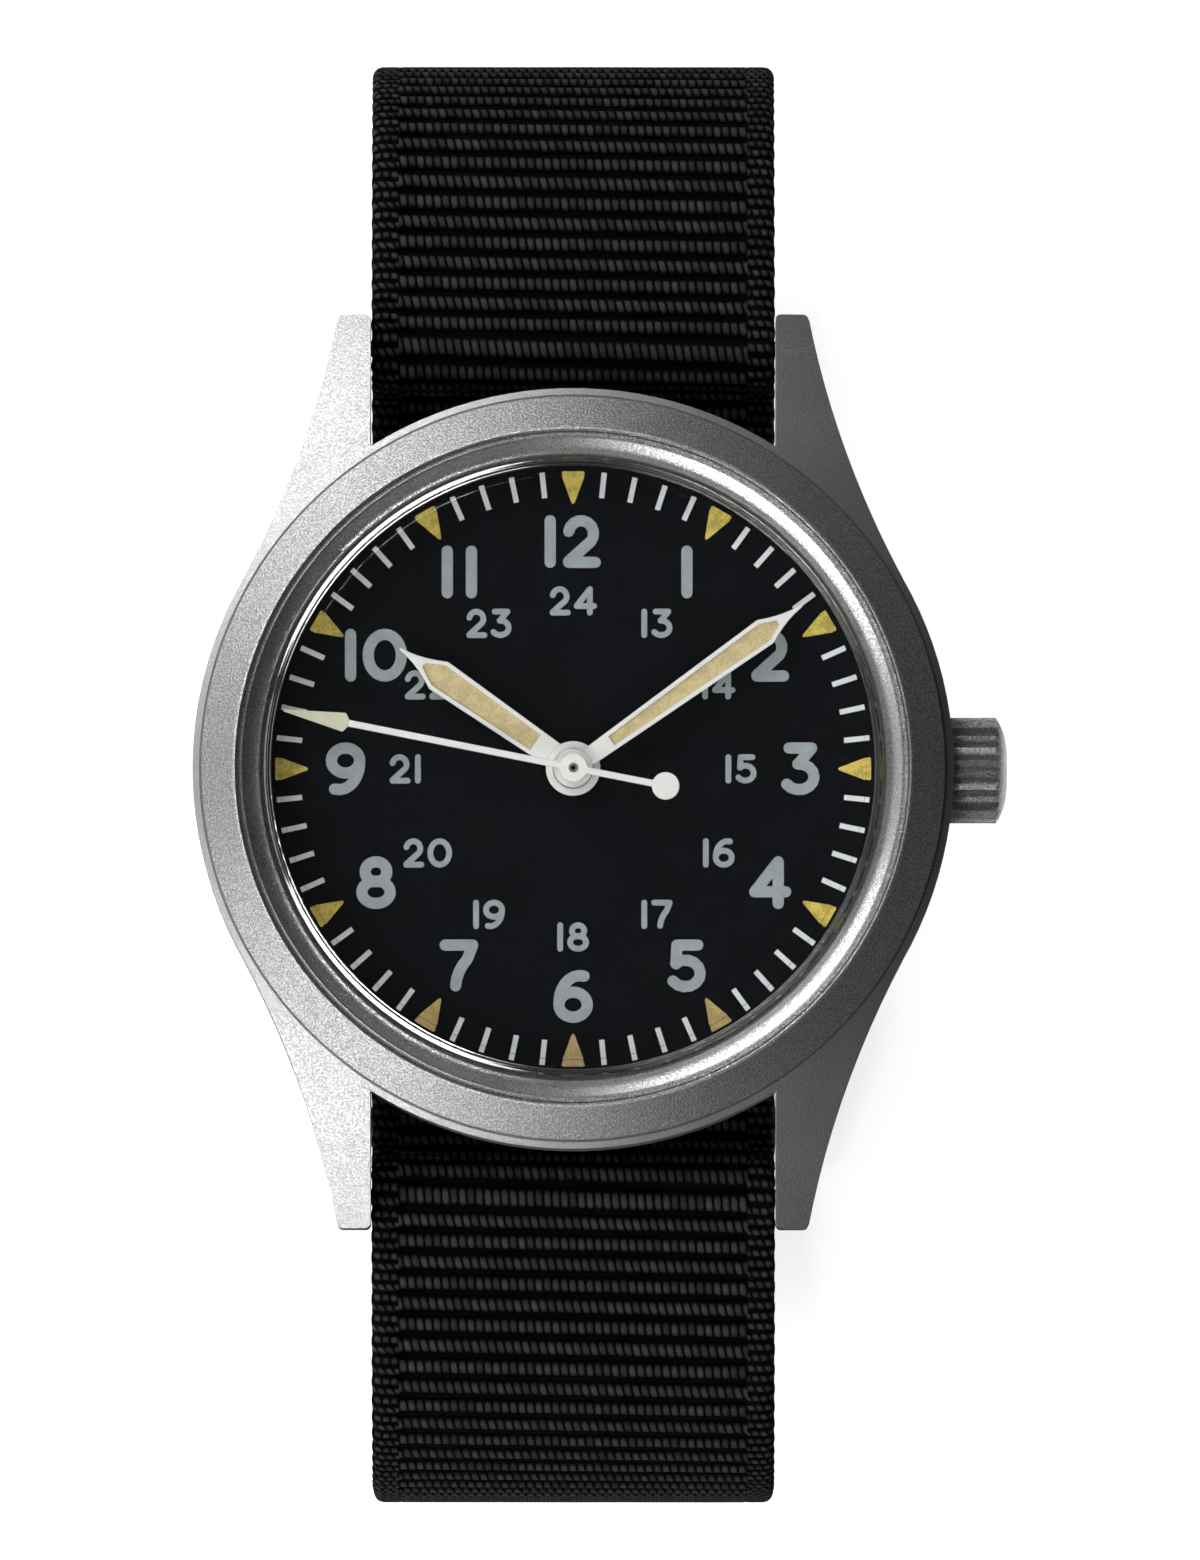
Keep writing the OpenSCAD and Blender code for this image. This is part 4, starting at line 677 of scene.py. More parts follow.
def weave(
    name, place, start, length, half_width, thickness, pitch, depth, columns, closed,
    width_cut=None, skew=0.0,
):
    """A flat woven tape as one closed mesh, ribbed on both faces, with rounded selvedges."""
    ribs = round(length / pitch)
    pitch = length / ribs
    rows = [k * pitch / RIB_ROWS for k in range(ribs * RIB_ROWS + (0 if closed else 1))]
    if not closed:
        rows = sorted({*rows, *SEAL_ROWS, *(length - e for e in SEAL_ROWS)})
    points, uvs = [], []
    for distance in rows:
        middle, across, out = place(start + distance)
        half = half_width - (width_cut(distance) if width_cut else 0.0)
        cap = 1.0 if closed else edge_height(min(distance, length - distance), SEAL_L)
        for face in (1, -1):
            for share in columns if face > 0 else columns[-2:0:-1]:
                x = share * half
                phase = (distance + skew * x) / pitch + (0.5 if face < 0 else 0.0)
                inward = half - abs(x)
                blend = (inward - EDGE_W + EDGE_BLEND / 2) / EDGE_BLEND
                selvedge = min(1.0, max(0.0, 1 - blend))
                wide, narrow = rib_height(phase % 1), rib_height(2 * phase % 1)
                rib = (1 - selvedge) * wide + selvedge * narrow
                dip = depth * (1 - rib) * (1 - 0.5 * selvedge)
                scallop = 1 + (SCALLOP - 2 * SCALLOP * (1 - wide)) * selvedge / half
                high = (thickness / 2 - dip) * edge_height(inward, EDGE_ROUND) * cap
                if inward < 1e-6:
                    high = 0.0
                points.append((middle + across * (x * scallop) + out * (face * high)) * MM)
                uvs.append((x, phase))
    around = 2 * len(columns) - 2
    count = len(rows)
    last = len(columns) - 1
    faces, corners = [], []
    for row in range(count if closed else count - 1):
        after = (row + 1) % count
        for k in range(around):
            near = (k + 1) % around
            ring = ((row, k), (row, near), (after, near), (after, k))
            faces.append([r * around + c for r, c in ring])
            for r, c in ring:
                u, v = uvs[r * around + c]
                if k >= last and c in (0, last):
                    v += 0.5
                if closed and r == 0 and row == count - 1:
                    v += ribs
                corners += [u, v]
    made = new_piece(name, points, [], faces)
    made.data.uv_layers.new(name="weave").data.foreach_set("uv", corners)
    made.data.validate()
    made.data.update()
    return made


def merge_doubles(piece, distance=1e-6):
    """Joins points that lie within a distance in metres, and makes the faces point outwards."""
    work = bmesh.new()
    work.from_mesh(piece.data)
    bmesh.ops.remove_doubles(work, verts=work.verts, dist=distance)
    bmesh.ops.dissolve_degenerate(work, edges=work.edges, dist=distance * 0.1)
    bmesh.ops.recalc_face_normals(work, faces=work.faces)
    work.to_mesh(piece.data)
    work.free()


def smooth(piece):
    for face in piece.data.polygons:
        face.use_smooth = True


def settle(piece):
    """Turns a piece with live modifiers into a plain mesh."""
    graph = bpy.context.evaluated_depsgraph_get()
    made = bpy.data.meshes.new_from_object(piece.evaluated_get(graph))
    piece.modifiers.clear()
    piece.data = made


def line_group(name, inputs):
    """A Geometry Nodes group that takes a mesh of edges, named numbers and a finish. Returns the
    group, its tree, its first input and the edges as a line."""
    group = bpy.data.node_groups.new(name, "GeometryNodeTree")
    for label, kind in (("Geometry", "Geometry"), *inputs, ("Finish", "Material")):
        group.interface.new_socket(label, in_out="INPUT", socket_type="NodeSocket" + kind)
    group.interface.new_socket("Geometry", in_out="OUTPUT", socket_type="NodeSocketGeometry")
    tree = Tree(group)
    start = tree.node("NodeGroupInput", {}, {}, "Geometry")
    return group, tree, start, tree.node("GeometryNodeMeshToCurve", {}, {"Mesh": start})


def close_group(group, tree, start, shape):
    """Ends a group with a shape in the group's finish."""
    real = tree.node("GeometryNodeRealizeInstances", {}, {"Geometry": shape})
    values = {"Geometry": real, "Material": start.beside("Finish")}
    finished = tree.node("GeometryNodeSetMaterial", {}, values)
    tree.node("NodeGroupOutput", {}, {"Geometry": finished})
    return group


def stitch_group():
    """Short raised stitches laid end to end along lines."""
    inputs = (("Stitch Pitch", "Float"), ("Stitch Length", "Float"), ("Thread", "Float"))
    group, t, start, line = line_group("stitch_rows", inputs)
    thread = start.beside("Thread")
    values = {"Curve": line, "Length": start.beside("Stitch Pitch")}
    spots = t.node("GeometryNodeCurveToPoints", {"mode": "LENGTH"}, values)
    bead = t.node("GeometryNodeMeshUVSphere", {}, {"Segments": 8, "Rings": 6, "Radius": 0.5})
    sizes = {0: start.beside("Stitch Length"), 1: thread, 2: thread}
    shape = t.node("ShaderNodeCombineXYZ", {}, sizes)
    way = {"Vector": spots.beside("Tangent")}
    turned = t.node("FunctionNodeAlignRotationToVector", {"axis": "X"}, way)
    values = {"Points": spots, "Instance": bead, "Rotation": turned, "Scale": shape}
    return close_group(group, t, start, t.node("GeometryNodeInstanceOnPoints", {}, values))


def bead_group():
    """A round bead that follows closed lines."""
    group, t, start, line = line_group("sealed_rims", (("Bead", "Float"), ("Sides", "Int")))
    values = {"Resolution": start.beside("Sides"), "Radius": start.beside("Bead")}
    section = t.node("GeometryNodeCurvePrimitiveCircle", {}, values)
    values = {"Curve": line, "Profile Curve": section}
    return close_group(group, t, start, t.node("GeometryNodeCurveToMesh", {}, values))


def along_lines(name, chains, group, values):
    """A smooth piece that a Geometry Nodes group lays along chains of points. A closed chain ends
    on its first point."""
    points, edges = [], []
    for chain, closed in chains:
        first = len(points)
        points += [p * MM for p in chain]
        edges += [(first + k, first + k + 1) for k in range(len(chain) - 1)]
        if closed:
            edges.append((len(points) - 1, first))
    piece = new_piece(name, points, edges, [])
    modifier = piece.modifiers.new(group.name, "NODES")
    modifier.node_group = group
    for item in group.interface.items_tree:
        if item.item_type == "SOCKET" and item.in_out == "INPUT" and item.name in values:
            modifier[item.identifier] = values[item.name]
    bpy.context.view_layer.update()
    settle(piece)
    smooth(piece)
    return piece


def block(name, low, high):
    """A box between two corners, for cutting."""
    xs, ys, zs = zip(low, high)
    corners = [Vector((x, y, z)) * MM for x in xs for y in ys for z in zs]
    faces = [(0, 1, 3, 2), (4, 6, 7, 5), (0, 4, 5, 1), (2, 3, 7, 6), (0, 2, 6, 4), (1, 5, 7, 3)]
    return new_piece(name, corners, [], faces)


def prism(name, ring, way):
    """A closed prism: a ring of points pushed along a vector, for cutting."""
    count = len(ring)
    points = [(p + side * way) * MM for side in (-1, 1) for p in ring]
    faces = [tuple(range(count))[::-1], tuple(range(count, 2 * count))]
    for k in range(count):
        after = (k + 1) % count
        faces.append((k, after, count + after, count + k))
    return new_piece(name, points, [], faces)


def cut_away(piece, cutters, finish):
    """Cuts the cutters out of a piece; the new walls take the finish."""
    for cutter in cutters:
        merge_doubles(cutter, 1e-7)
        cutter.data.materials.append(finish)
        modifier = piece.modifiers.new("cut", "BOOLEAN")
        modifier.operation = "DIFFERENCE"
        modifier.solver = "EXACT"
        modifier.material_mode = "TRANSFER"
        modifier.object = cutter
    settle(piece)
    for cutter in cutters:
        bpy.data.objects.remove(cutter)


# Settings


def colour_of(name, description, default):
    return FloatVectorProperty(
        name=name,
        description="Colour of " + description,
        default=default,
        subtype="COLOR",
        size=3,
        min=0.0,
        max=1.0,
    )


def number_of(name, description, default, **limits):
    return FloatProperty(
        name=name, description=description, default=default, **{"min": 0.0, **limits}
    )


def length_of(name, description, default):
    return number_of(name, description, default, unit="LENGTH", precision=5)


def share_of(name, description, default):
    return number_of(name, description, default, subtype="FACTOR", max=1.0)


class SteelSettings(bpy.types.PropertyGroup):
    case_colour: colour_of("Case Steel", "the blasted case and turned back", (0.5, 0.503, 0.498))
    bezel_colour: colour_of("Bezel Steel", "the blasted bezel", (0.7, 0.703, 0.698))
    crown_colour: colour_of("Crown Steel", "the crown", (0.68, 0.68, 0.67))
    roughness: share_of("Roughness", "Roughness of the blasted steel", 0.4)
    grain: length_of("Blast Grain", "Size of the pits that blasting leaves", 0.09 * MM)
    edge: length_of("Edge Wear", "Radius to which sharp edges are softened", 0.07 * MM)
    buckle_colour: colour_of("Buckle Steel", "the matt buckle", (0.5, 0.505, 0.5))


class DialSettings(bpy.types.PropertyGroup):
    dial_colour: colour_of("Dial", "the dial's matt paint", (0.0012, 0.0016, 0.0032))
    track_colour: colour_of("Minute Track", "the printed minute track", (0.7, 0.72, 0.74))
    numeral_colour: colour_of("Numerals", "the printed numerals", (0.31, 0.345, 0.355))
    marker_colour: colour_of("Hour Markers", "the luminous triangles", (0.7, 0.545, 0.108))
    low_marker_colour: colour_of("Low Markers", "the triangles toward 6 o'clock", (0.5, 0.36, 0.17))
    hand_colour: colour_of("Hands", "the hands' enamel", (0.8, 0.8, 0.78))
    lume_colour: colour_of("Hand Filling", "the luminous filling of the hands", (0.66, 0.54, 0.28))
    arrow_colour: colour_of("Arrow", "the second hand's arrow", (0.6, 0.58, 0.43))


class MovementSettings(bpy.types.PropertyGroup):
    brass_colour: colour_of("Wheels", "the gilt wheels", (0.78, 0.6, 0.25))
    plate_colour: colour_of("Main Plate", "the nickelled brass plate", (0.72, 0.66, 0.5))
    bridge_colour: colour_of("Bridges", "the nickelled bridges", (0.66, 0.66, 0.65))
    screw_colour: colour_of("Screws", "the blued screws", (0.1, 0.14, 0.4))
    jewel_colour: colour_of("Jewels", "the bearing stones", (0.6, 0.03, 0.12))


class StrapSettings(bpy.types.PropertyGroup):
    rib_pitch: length_of("Rib Pitch", "Distance between the ribs of the strap", 1.0 * MM)
    rib_depth: length_of("Rib Depth", "Depth of the valleys between the ribs", 0.34 * MM)
    loop_pitch: length_of("Loop Pitch", "Distance between the loops of a rib", 0.38 * MM)
    # The yarn colour carries the loops' painted highlight as well as the yarn's own tone; the
    # valley colour is painted shade.
    yarn_and_highlight_colour: colour_of("Yarn", "the nylon yarn", (0.072, 0.073, 0.077))
    valley_shade_colour: colour_of("Valleys", "the gaps between the yarns", (0.0002, 0.0002, 0.0002))
    keeper_pitch: length_of("Keeper Rib Pitch", "Distance between the keepers' ribs", 0.8 * MM)
    stitch: length_of("Stitch", "Length of a stitch", 1.15 * MM)


class StageSettings(bpy.types.PropertyGroup):
    lens: number_of("Lens", "Focal length in millimetres", 1000.0, min=50.0, unit="CAMERA")
    tilt: number_of(
        "Tilt", "Lean of the camera toward 6 o'clock", math.radians(2.2), min=-1.5, subtype="ANGLE"
    )
    seen_height: length_of("Seen Height", "Height of the view at the bezel", 69.64 * MM)
    softbox: number_of("Softboxes", "Power of each softbox in watts", 2.35)
    strip: number_of("Strips", "Power of the bright strip in each softbox in watts", 0.7)
    panel: number_of("Panels", "Power in watts of each right panel, half of the left one's", 0.065)
    fill: number_of("Fill", "Power of the overhead fill in watts", 2.05)
    world: share_of("Room", "Brightness of the room round the object", 0.025)
    mirrored_floor: share_of("Floor in Steel", "Brightness of the floor that steel mirrors", 0.1)
    mirrored_card: share_of("Card in Steel", "Brightness of the white card by the crown", 0.85)
    floor_colour: colour_of("Floor", "the floor", (0.8, 0.8, 0.8))


# Operators


BEZEL_RIDGE = 15.1 * MM
CRYSTAL_SHOULDER = 13.47 * MM
ALONG_X = (1, 0, 0)
IN_PLANE = (1, 1, 0)


class WATCH_OT_finish_case(bpy.types.Operator):
    """Blast the case, bezel and crown, turn the case back, brush the crown tube and stem, and give
    the gaskets rubber.
    """

    bl_idname = "watch.finish_case"
    bl_label = "Finish the Case"

    def execute(self, context):
        s = context.scene.watch_steel
        case = blasted_steel(
            "blasted_steel", s.case_colour, s.roughness + 0.06, s.grain, 0.4 * s.edge, contrast=0.32
        )
        give(case, "mid_case")
        bezel = blasted_steel(
            "bezel_steel",
            s.bezel_colour,
            s.roughness - 0.02,
            s.grain,
            0.2 * s.edge,
            contrast=1.3,
            relief=0.045 * MM,
            ridge=BEZEL_RIDGE,
        )
        give(bezel, "bezel")
        crown = blasted_steel(
            "crown_steel", s.crown_colour, s.roughness - 0.08, s.grain, 0.2 * s.edge
        )
        give(crown, "crown")
        give(turned_steel("back_steel", s.case_colour, 0.34, 0.18 * MM, s.edge), "case_back")
        give(brushed_metal("tube_steel", s.crown_colour, 0.3, ALONG_X), "crown_tube", "stem")
        gasket = rubber("gasket_rubber", (0.03, 0.03, 0.03))
        give(gasket, "crystal_gasket", "case_back_gasket", "crown_gasket")
        return {"FINISHED"}


class WATCH_OT_finish_crystal(bpy.types.Operator):
    """Make the crystal clear acrylic."""

    bl_idname = "watch.finish_crystal"
    bl_label = "Finish the Crystal"

    def execute(self, context):
        give(clear_acrylic("clear_acrylic", (0.985, 0.99, 0.985), CRYSTAL_SHOULDER), "crystal")
        return {"FINISHED"}


class WATCH_OT_finish_dial(bpy.types.Operator):
    """Paint the dial, its track and numerals, and lay the luminous triangles."""

    bl_idname = "watch.finish_dial"
    bl_label = "Finish the Dial"

    def execute(self, context):
        s = context.scene.watch_dial
        black = matt_paint(
            "dial_black",
            s.dial_colour,
            0.62,
            0.25,
            grain=0.07 * MM,
            relief=0.004 * MM,
            patch=3 * MM,
            gloss=0.1,
        )
        give(black, "dial")
        give(matt_paint("track_paint", s.track_colour, 0.6, 0.08), "minute_track")
        give(matt_paint("numeral_paint", s.numeral_colour, 0.6, 0.1), "dial_numerals")
        dark = [c * 0.62 for c in s.marker_colour]
        lume = aged_lume("marker_lume", s.marker_colour, dark, low_colour=s.low_marker_colour)
        give(lume, "hour_markers")
        return {"FINISHED"}


class WATCH_OT_finish_hands(bpy.types.Operator):
    """Enamel the hands and fill their windows."""

    bl_idname = "watch.finish_hands"
    bl_label = "Finish the Hands"

    def execute(self, context):
        s = context.scene.watch_dial
        enamel = hand_enamel("hand_enamel", s.hand_colour, 0.05 * MM)
        give(enamel, "hour_hand", "minute_hand", "second_hand")
        dark = [c * 0.78 for c in s.lume_colour]
        lume = aged_lume("hand_lume", s.lume_colour, dark, crust=0.03 * MM)
        give(lume, "hour_hand_lume", "minute_hand_lume")
        give(matt_paint("arrow_paint", s.arrow_colour, 0.5, 0.07), "second_hand_lume")
        return {"FINISHED"}


class WATCH_OT_finish_movement(bpy.types.Operator):
    """Finish the plates, bridges, wheels, screws and jewels inside the case."""

    bl_idname = "watch.finish_movement"
    bl_label = "Finish the Movement"

    def execute(self, context):
        s = context.scene.watch_movement
        give(pearled_brass("pearled_plate", s.plate_colour, 0.3, 0.9 * MM), "main_plate")
        striped = striped_nickel("striped_bridge", s.bridge_colour, 0.26, 1.4 * MM)
        give(striped, "barrel_bridge", "train_bridge", "balance_cock")
        ring = turned_steel("ring_steel", (0.3, 0.3, 0.31), 0.4, 0.2 * MM, 0.03 * MM)
        give(ring, "movement_ring")
        give(brushed_metal("blued_screws", s.screw_colour, 0.2, ALONG_X), "bridge_screws")
        give(ruby_jewel("ruby_jewel", s.jewel_colour), "jewels")
        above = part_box("dial")[1][2] + 0.1 * MM
        gilt = brushed_metal("gilt_brass", s.brass_colour, 0.3, IN_PLANE, steel_above=above)
        give(gilt, "center_wheel", "hour_wheel", "minute_wheel", "third_wheel", "seconds_wheel")
        give(gilt, "balance_wheel", "barrel_drum", "setting_wheel")
        hard = brushed_metal("hardened_steel", (0.6, 0.6, 0.62), 0.2, IN_PLANE)
        give(hard, "cannon_pinion", "escape_wheel", "pallet_fork", "barrel_arbor", "ratchet_wheel")
        give(hard, "crown_wheel", "click", "winding_pinion", "clutch", "setting_lever", "yoke")
        sprung = brushed_metal("spring_steel", (0.3, 0.33, 0.42), 0.25, IN_PLANE)
        give(sprung, "hairspring", "mainspring", "spring_bar_springs")
        return {"FINISHED"}


def corner_cut(distance):
    """How far the tail's clipped corners take each edge in, the tail's end being at distance 0."""
    return max(0.0, CORNER_CUT - distance)


def scaled(half_width, offsets):
    """Column places from -1 to 1 for distances in from the edge, the middle at the end."""
    left = [-1 + offset / half_width for offset in offsets]
    return left + [0.0] + [-x for x in reversed(left)]


def circle(count):
    """Cosine and sine of even steps round a circle."""
    return [(math.cos(a), math.sin(a)) for a in (2 * math.pi * k / count for k in range(count))]


STRAP_COLUMNS = (0, 0.03, 0.12, 0.26, 0.45, 0.75, 1.08, 1.2, 1.32, 3.2, 6.0)
RIB_SKEW = 0.022
# Steps of the cutters' outlines, and how far a cutter reaches past the webbing's face
HOLE_STEPS = 32
HOLE_PAST = 0.04
SLOT_STEPS = 16
SLOT_RAISE = 0.35
SLOT_PAST = 0.37
TONGUE_GAP_HALF = 1.0
TONGUE_GAP_PAST = 1.1


class WATCH_OT_weave_strap(bpy.types.Operator):
    """Weave the one-piece strap along its path and punch its holes."""

    bl_idname = "watch.weave_strap"
    bl_label = "Weave the Strap"

    def execute(self, context):
        s = context.scene.watch_strap
        length = TAIL_SIDE.length + BUCKLE_SIDE.length
        strap = weave(
            "woven_strap",
            strap_place,
            -TAIL_SIDE.length,
            length,
            WEB_W / 2,
            WEB_T,
            s.rib_pitch / MM,
            s.rib_depth / MM,
            scaled(WEB_W / 2, STRAP_COLUMNS),
            closed=False,
            width_cut=corner_cut,
            skew=RIB_SKEW,
        )
        nylon = woven_nylon(
            "woven_nylon", WEB_W / 2, s.loop_pitch / MM, s.yarn_and_highlight_colour, s.valley_shade_colour
        )
        strap.data.materials.append(nylon)
        sealed = melted_nylon("sealed_nylon", (0.012, 0.012, 0.013))
        merge_doubles(strap)
        smooth(strap)
        cut_away(strap, [*self.holes(), self.slot(), self.tongue_cut()], sealed)
        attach(strap, "case")
        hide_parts("strap_band")
        return {"FINISHED"}

    def holes(self):
        """Cutters for the round holes, in the flat tail and in the bend before it."""
        steps = [(HOLE_R * c, HOLE_R * d) for c, d in circle(HOLE_STEPS)]
        for k in HOLES:
            y = HOLE_Y + k * HOLE_PITCH
            ring = [Vector((c, y + d, TAIL_Z)) for c, d in steps]
            yield prism("tail_hole", ring, Vector((0, 0, WEB_T / 2 + HOLE_PAST)))
        for k in HOLES:
            arc = (k * HOLE_PITCH - HOLE_Y - FLAT_Y) / UNDER_R
            out = Vector((0, -math.sin(arc), -math.cos(arc)))
            along = Vector((0, -math.cos(arc), math.sin(arc)))
            middle = Vector((0, -FLAT_Y, ENTRY_Z + UNDER_R)) + out * UNDER_R
            ring = [middle + Vector((1, 0, 0)) * c + along * d for c, d in steps]
            yield prism("curve_hole", ring, out * WEB_T)

    def slot(self):
        """Cutter for the long hole that the tongue passes."""
        reach = SLOT_HALF - SLOT_W
        ring = []
        for end, start in ((HOLE_Y + reach + TONGUE_ROOM, 0), (HOLE_Y - reach, math.pi)):
            for a in (math.pi * k / SLOT_STEPS + start for k in range(SLOT_STEPS + 1)):
                x, y = SLOT_W * math.cos(a), end + SLOT_W * math.sin(a)
                ring.append(Vector((x, y, TAIL_Z + SLOT_RAISE)))
        return prism("tongue_slot", ring, Vector((0, 0, WEB_T / 2 + SLOT_PAST)))

    def tongue_cut(self):
        """Cutter for the tongue's gap in the fold round the buckle bar."""
        bottom = TAIL_Z + WEB_T / 2 + LAYER_GAP / 2
        top = bottom + 2 * FOLD_R + WEB_T + LAYER_GAP
        low = (-TONGUE_GAP_HALF, PIN_Y - FOLD_R - WEB_T, bottom)
        high = (TONGUE_GAP_HALF, PIN_Y + TONGUE_GAP_PAST, top)
        return block("tongue_cut", low, high)


FACE_DIP = 0.1
LINE_LIFT = 0.02


def on_strap(distance, x, side=1):
    """A point just above the strap's ribs on its outer face, or on its inner face for side -1."""
    middle, across, out = strap_place(distance)
    return middle + across * x + out * (side * WEB_T / 2 + side * LINE_LIFT - side * FACE_DIP)


RIM_R = HOLE_R + 0.08
RIM_STEPS = 28
RIM_BEAD = 0.13 * MM


class WATCH_OT_seal_holes(bpy.types.Operator):
    """Melt a smooth rim round each hole of the strap."""

    bl_idname = "watch.seal_holes"
    bl_label = "Seal the Holes"

    def execute(self, context):
        chains = []
        places = [tail_distance(HOLE_Y + k * HOLE_PITCH) for k in HOLES]
        entry = 2 * ENTRY_R * math.radians(ENTRY_BEND) + ENTRY_L
        bend_start = tail_distance(TAIL_END) + TAIL_L + entry
        places += [bend_start + k * HOLE_PITCH - HOLE_Y - FLAT_Y for k in HOLES]
        for place in places:
            for side in (1, -1):
                steps = [(RIM_R * c, RIM_R * d) for c, d in circle(RIM_STEPS)]
                chains.append(([on_strap(place + d, c, side) for c, d in steps], True))
        finish = bpy.data.materials["sealed_nylon"]
        values = {"Bead": RIM_BEAD, "Sides": 8, "Finish": finish}
        rims = along_lines("sealed_rims", chains, bead_group(), values)
        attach(rims, "case")
        return {"FINISHED"}


def loop_route(middle_y, half_w, bottom, top, radius):
    """Place function and length of a rounded rectangle that stands across the strap."""
    wide, high = half_w - radius, (top - bottom) / 2 - radius
    quarter = radius * math.pi / 2
    sides = [2 * wide, quarter, 2 * high, quarter, 2 * wide, quarter, 2 * high, quarter]
    total = sum(sides)

    def place(distance):
        distance %= total
        turn = 0.0
        x, z = -wide, bottom
        for k, side in enumerate(sides):
            part = min(distance, side)
            if k % 2 == 0:
                x += part * math.cos(turn)
                z += part * math.sin(turn)
            else:
                after = turn + part / radius
                x += radius * (math.sin(after) - math.sin(turn))
                z += radius * (math.cos(turn) - math.cos(after))
                turn = after
            distance -= part
            if distance <= 0:
                break
        out = Vector((math.sin(turn), 0, -math.cos(turn)))
        return Vector((x, middle_y, z)), Vector((0, 1, 0)), out

    return place, total


KEEPER_SEAT = 7.2
KEEPER_LOOP = 0.4
KEEPER_DEPTH = 0.2
KEEPER_COLUMNS = (0, 0.04, 0.14, 0.3, 0.5, 0.8, 1.2)
LOOP_SLACK = 0.05
LOOP_CORNER_R = 0.85
TACK_ROWS = (-1.1, -0.4, 0.4, 1.1)
TACK_FOOT = 1.2
TACK_SINK = 0.03


class WATCH_OT_weave_keepers(bpy.types.Operator):
    """Weave the fixed and the sliding loop round the strap."""

    bl_idname = "watch.weave_keepers"
    bl_label = "Weave the Keepers"

    def execute(self, context):
        s = context.scene.watch_strap
        finish = woven_nylon(
            "keeper_nylon", KEEPER_W / 2, KEEPER_LOOP, s.yarn_and_highlight_colour, s.valley_shade_colour
        )
        columns = scaled(KEEPER_W / 2, KEEPER_COLUMNS)
        values = {
            "Stitch Pitch": 0.75 * MM,
            "Stitch Length": 0.8 * MM,
            "Thread": 0.17 * MM,
            "Finish": sewing_thread("keeper_thread", SEAM_COLOUR),
        }
        half = WEB_W / 2 + LAYER_GAP + KEEPER_T / 2
        for name, node, body, middle_y, inner in (
            ("fixed_loop", "fixed_keeper", "case", 0.0, 3 * WEB_T + 3 * LAYER_GAP + LOOP_SLACK),
            ("sliding_loop", "sliding_keeper", "keeper", KEEPER_SEAT, 2 * WEB_T + 3 * LAYER_GAP),
        ):
            top = 1.5 * KEEPER_T + inner
            route, total = loop_route(middle_y, half, KEEPER_T / 2, top, LOOP_CORNER_R)
            loop = weave(
                name,
                route,
                0.0,
                total,
                KEEPER_W / 2,
                KEEPER_T,
                s.keeper_pitch / MM,
                KEEPER_DEPTH,
                columns,
                closed=True,
            )
            loop.data.materials.append(finish)
            merge_doubles(loop)
            smooth(loop)
            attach(loop, body)
            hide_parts(node)
            rows = []
            side = half + KEEPER_T / 2 - TACK_SINK
            for x in (side, -side):
                for y in (middle_y + row for row in TACK_ROWS):
                    line = [Vector((x, y, z)) for z in (TACK_FOOT, 0.6 * KEEPER_T + inner)]
                    rows.append((line, False))
            tacks = along_lines(name + "_tacks", rows, stitch_group(), values)
            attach(tacks, body)
        return {"FINISHED"}


# The fold's seams: two across and two along, each with its places and its half length or ends
CROSS_ROWS = (0.75, RETURN_L - 0.5)
CROSS_HALF = 7.6
SEAM_HALF = 7.9
SEAM_ENDS = (0.9, RETURN_L - 0.6)
STITCH_STEP = 1.12


class WATCH_OT_sew_fold(bpy.types.Operator):
    """Sew the end that folds back round the buckle bar."""

    bl_idname = "watch.sew_fold"
    bl_label = "Sew the Fold"

    def execute(self, context):
        s = context.scene.watch_strap
        end = BUCKLE_SIDE.length
        rows = []
        for back in CROSS_ROWS:
            rows.append(([on_strap(end - back, x) for x in (-CROSS_HALF, CROSS_HALF)], False))
        for x in (-SEAM_HALF, SEAM_HALF):
            rows.append(([on_strap(end - back, x) for back in SEAM_ENDS], False))
        values = {
            "Stitch Pitch": s.stitch * STITCH_STEP,
            "Stitch Length": s.stitch,
            "Thread": 0.24 * MM,
            "Finish": sewing_thread("seam_thread", SEAM_COLOUR),
        }
        seam = along_lines("fold_seam", rows, stitch_group(), values)
        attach(seam, "case")
        return {"FINISHED"}


class WATCH_OT_finish_buckle(bpy.types.Operator):
    """Blast the buckle and finish the spring bars."""

    bl_idname = "watch.finish_buckle"
    bl_label = "Finish the Buckle"

    def execute(self, context):
        s = context.scene.watch_steel
        matt = blasted_steel("buckle_steel", s.buckle_colour, s.roughness, s.grain, 0.12 * MM)
        give(matt, "buckle_frame", "buckle_tongue")
        bar = brushed_metal("bar_steel", (0.6, 0.6, 0.61), 0.28, ALONG_X)
        give(bar, "buckle_bar", "spring_bar_tubes")
        give(bar, "bar_tip_12_left", "bar_tip_12_right", "bar_tip_6_left", "bar_tip_6_right")
        return {"FINISHED"}


def aim(thing, target):
    """Turns a lamp or camera, which look along their own -Z, toward a point."""
    way = target - thing.location
    thing.rotation_euler = way.to_track_quat("-Z", "Y").to_euler()


def softbox(name, place, target, size, power, shines_in_gloss=True):
    """A rectangular lamp that the camera doesn't see."""
    lamp = bpy.data.lights.new(name, "AREA")
    lamp.shape = "RECTANGLE"
    lamp.size, lamp.size_y = size
    lamp.energy = power
    made = put(name, lamp)
    made.location = place
    aim(made, target)
    made.visible_camera = False
    made.visible_glossy = shines_in_gloss
    made.visible_transmission = shines_in_gloss


def round_place(clock, elevation, distance, target):
    """A point at a clock direction and elevation from a target, both in degrees."""
    level = cosine(elevation)
    way = Vector((sine(clock) * level, cosine(clock) * level, sine(elevation)))
    return target + distance * way


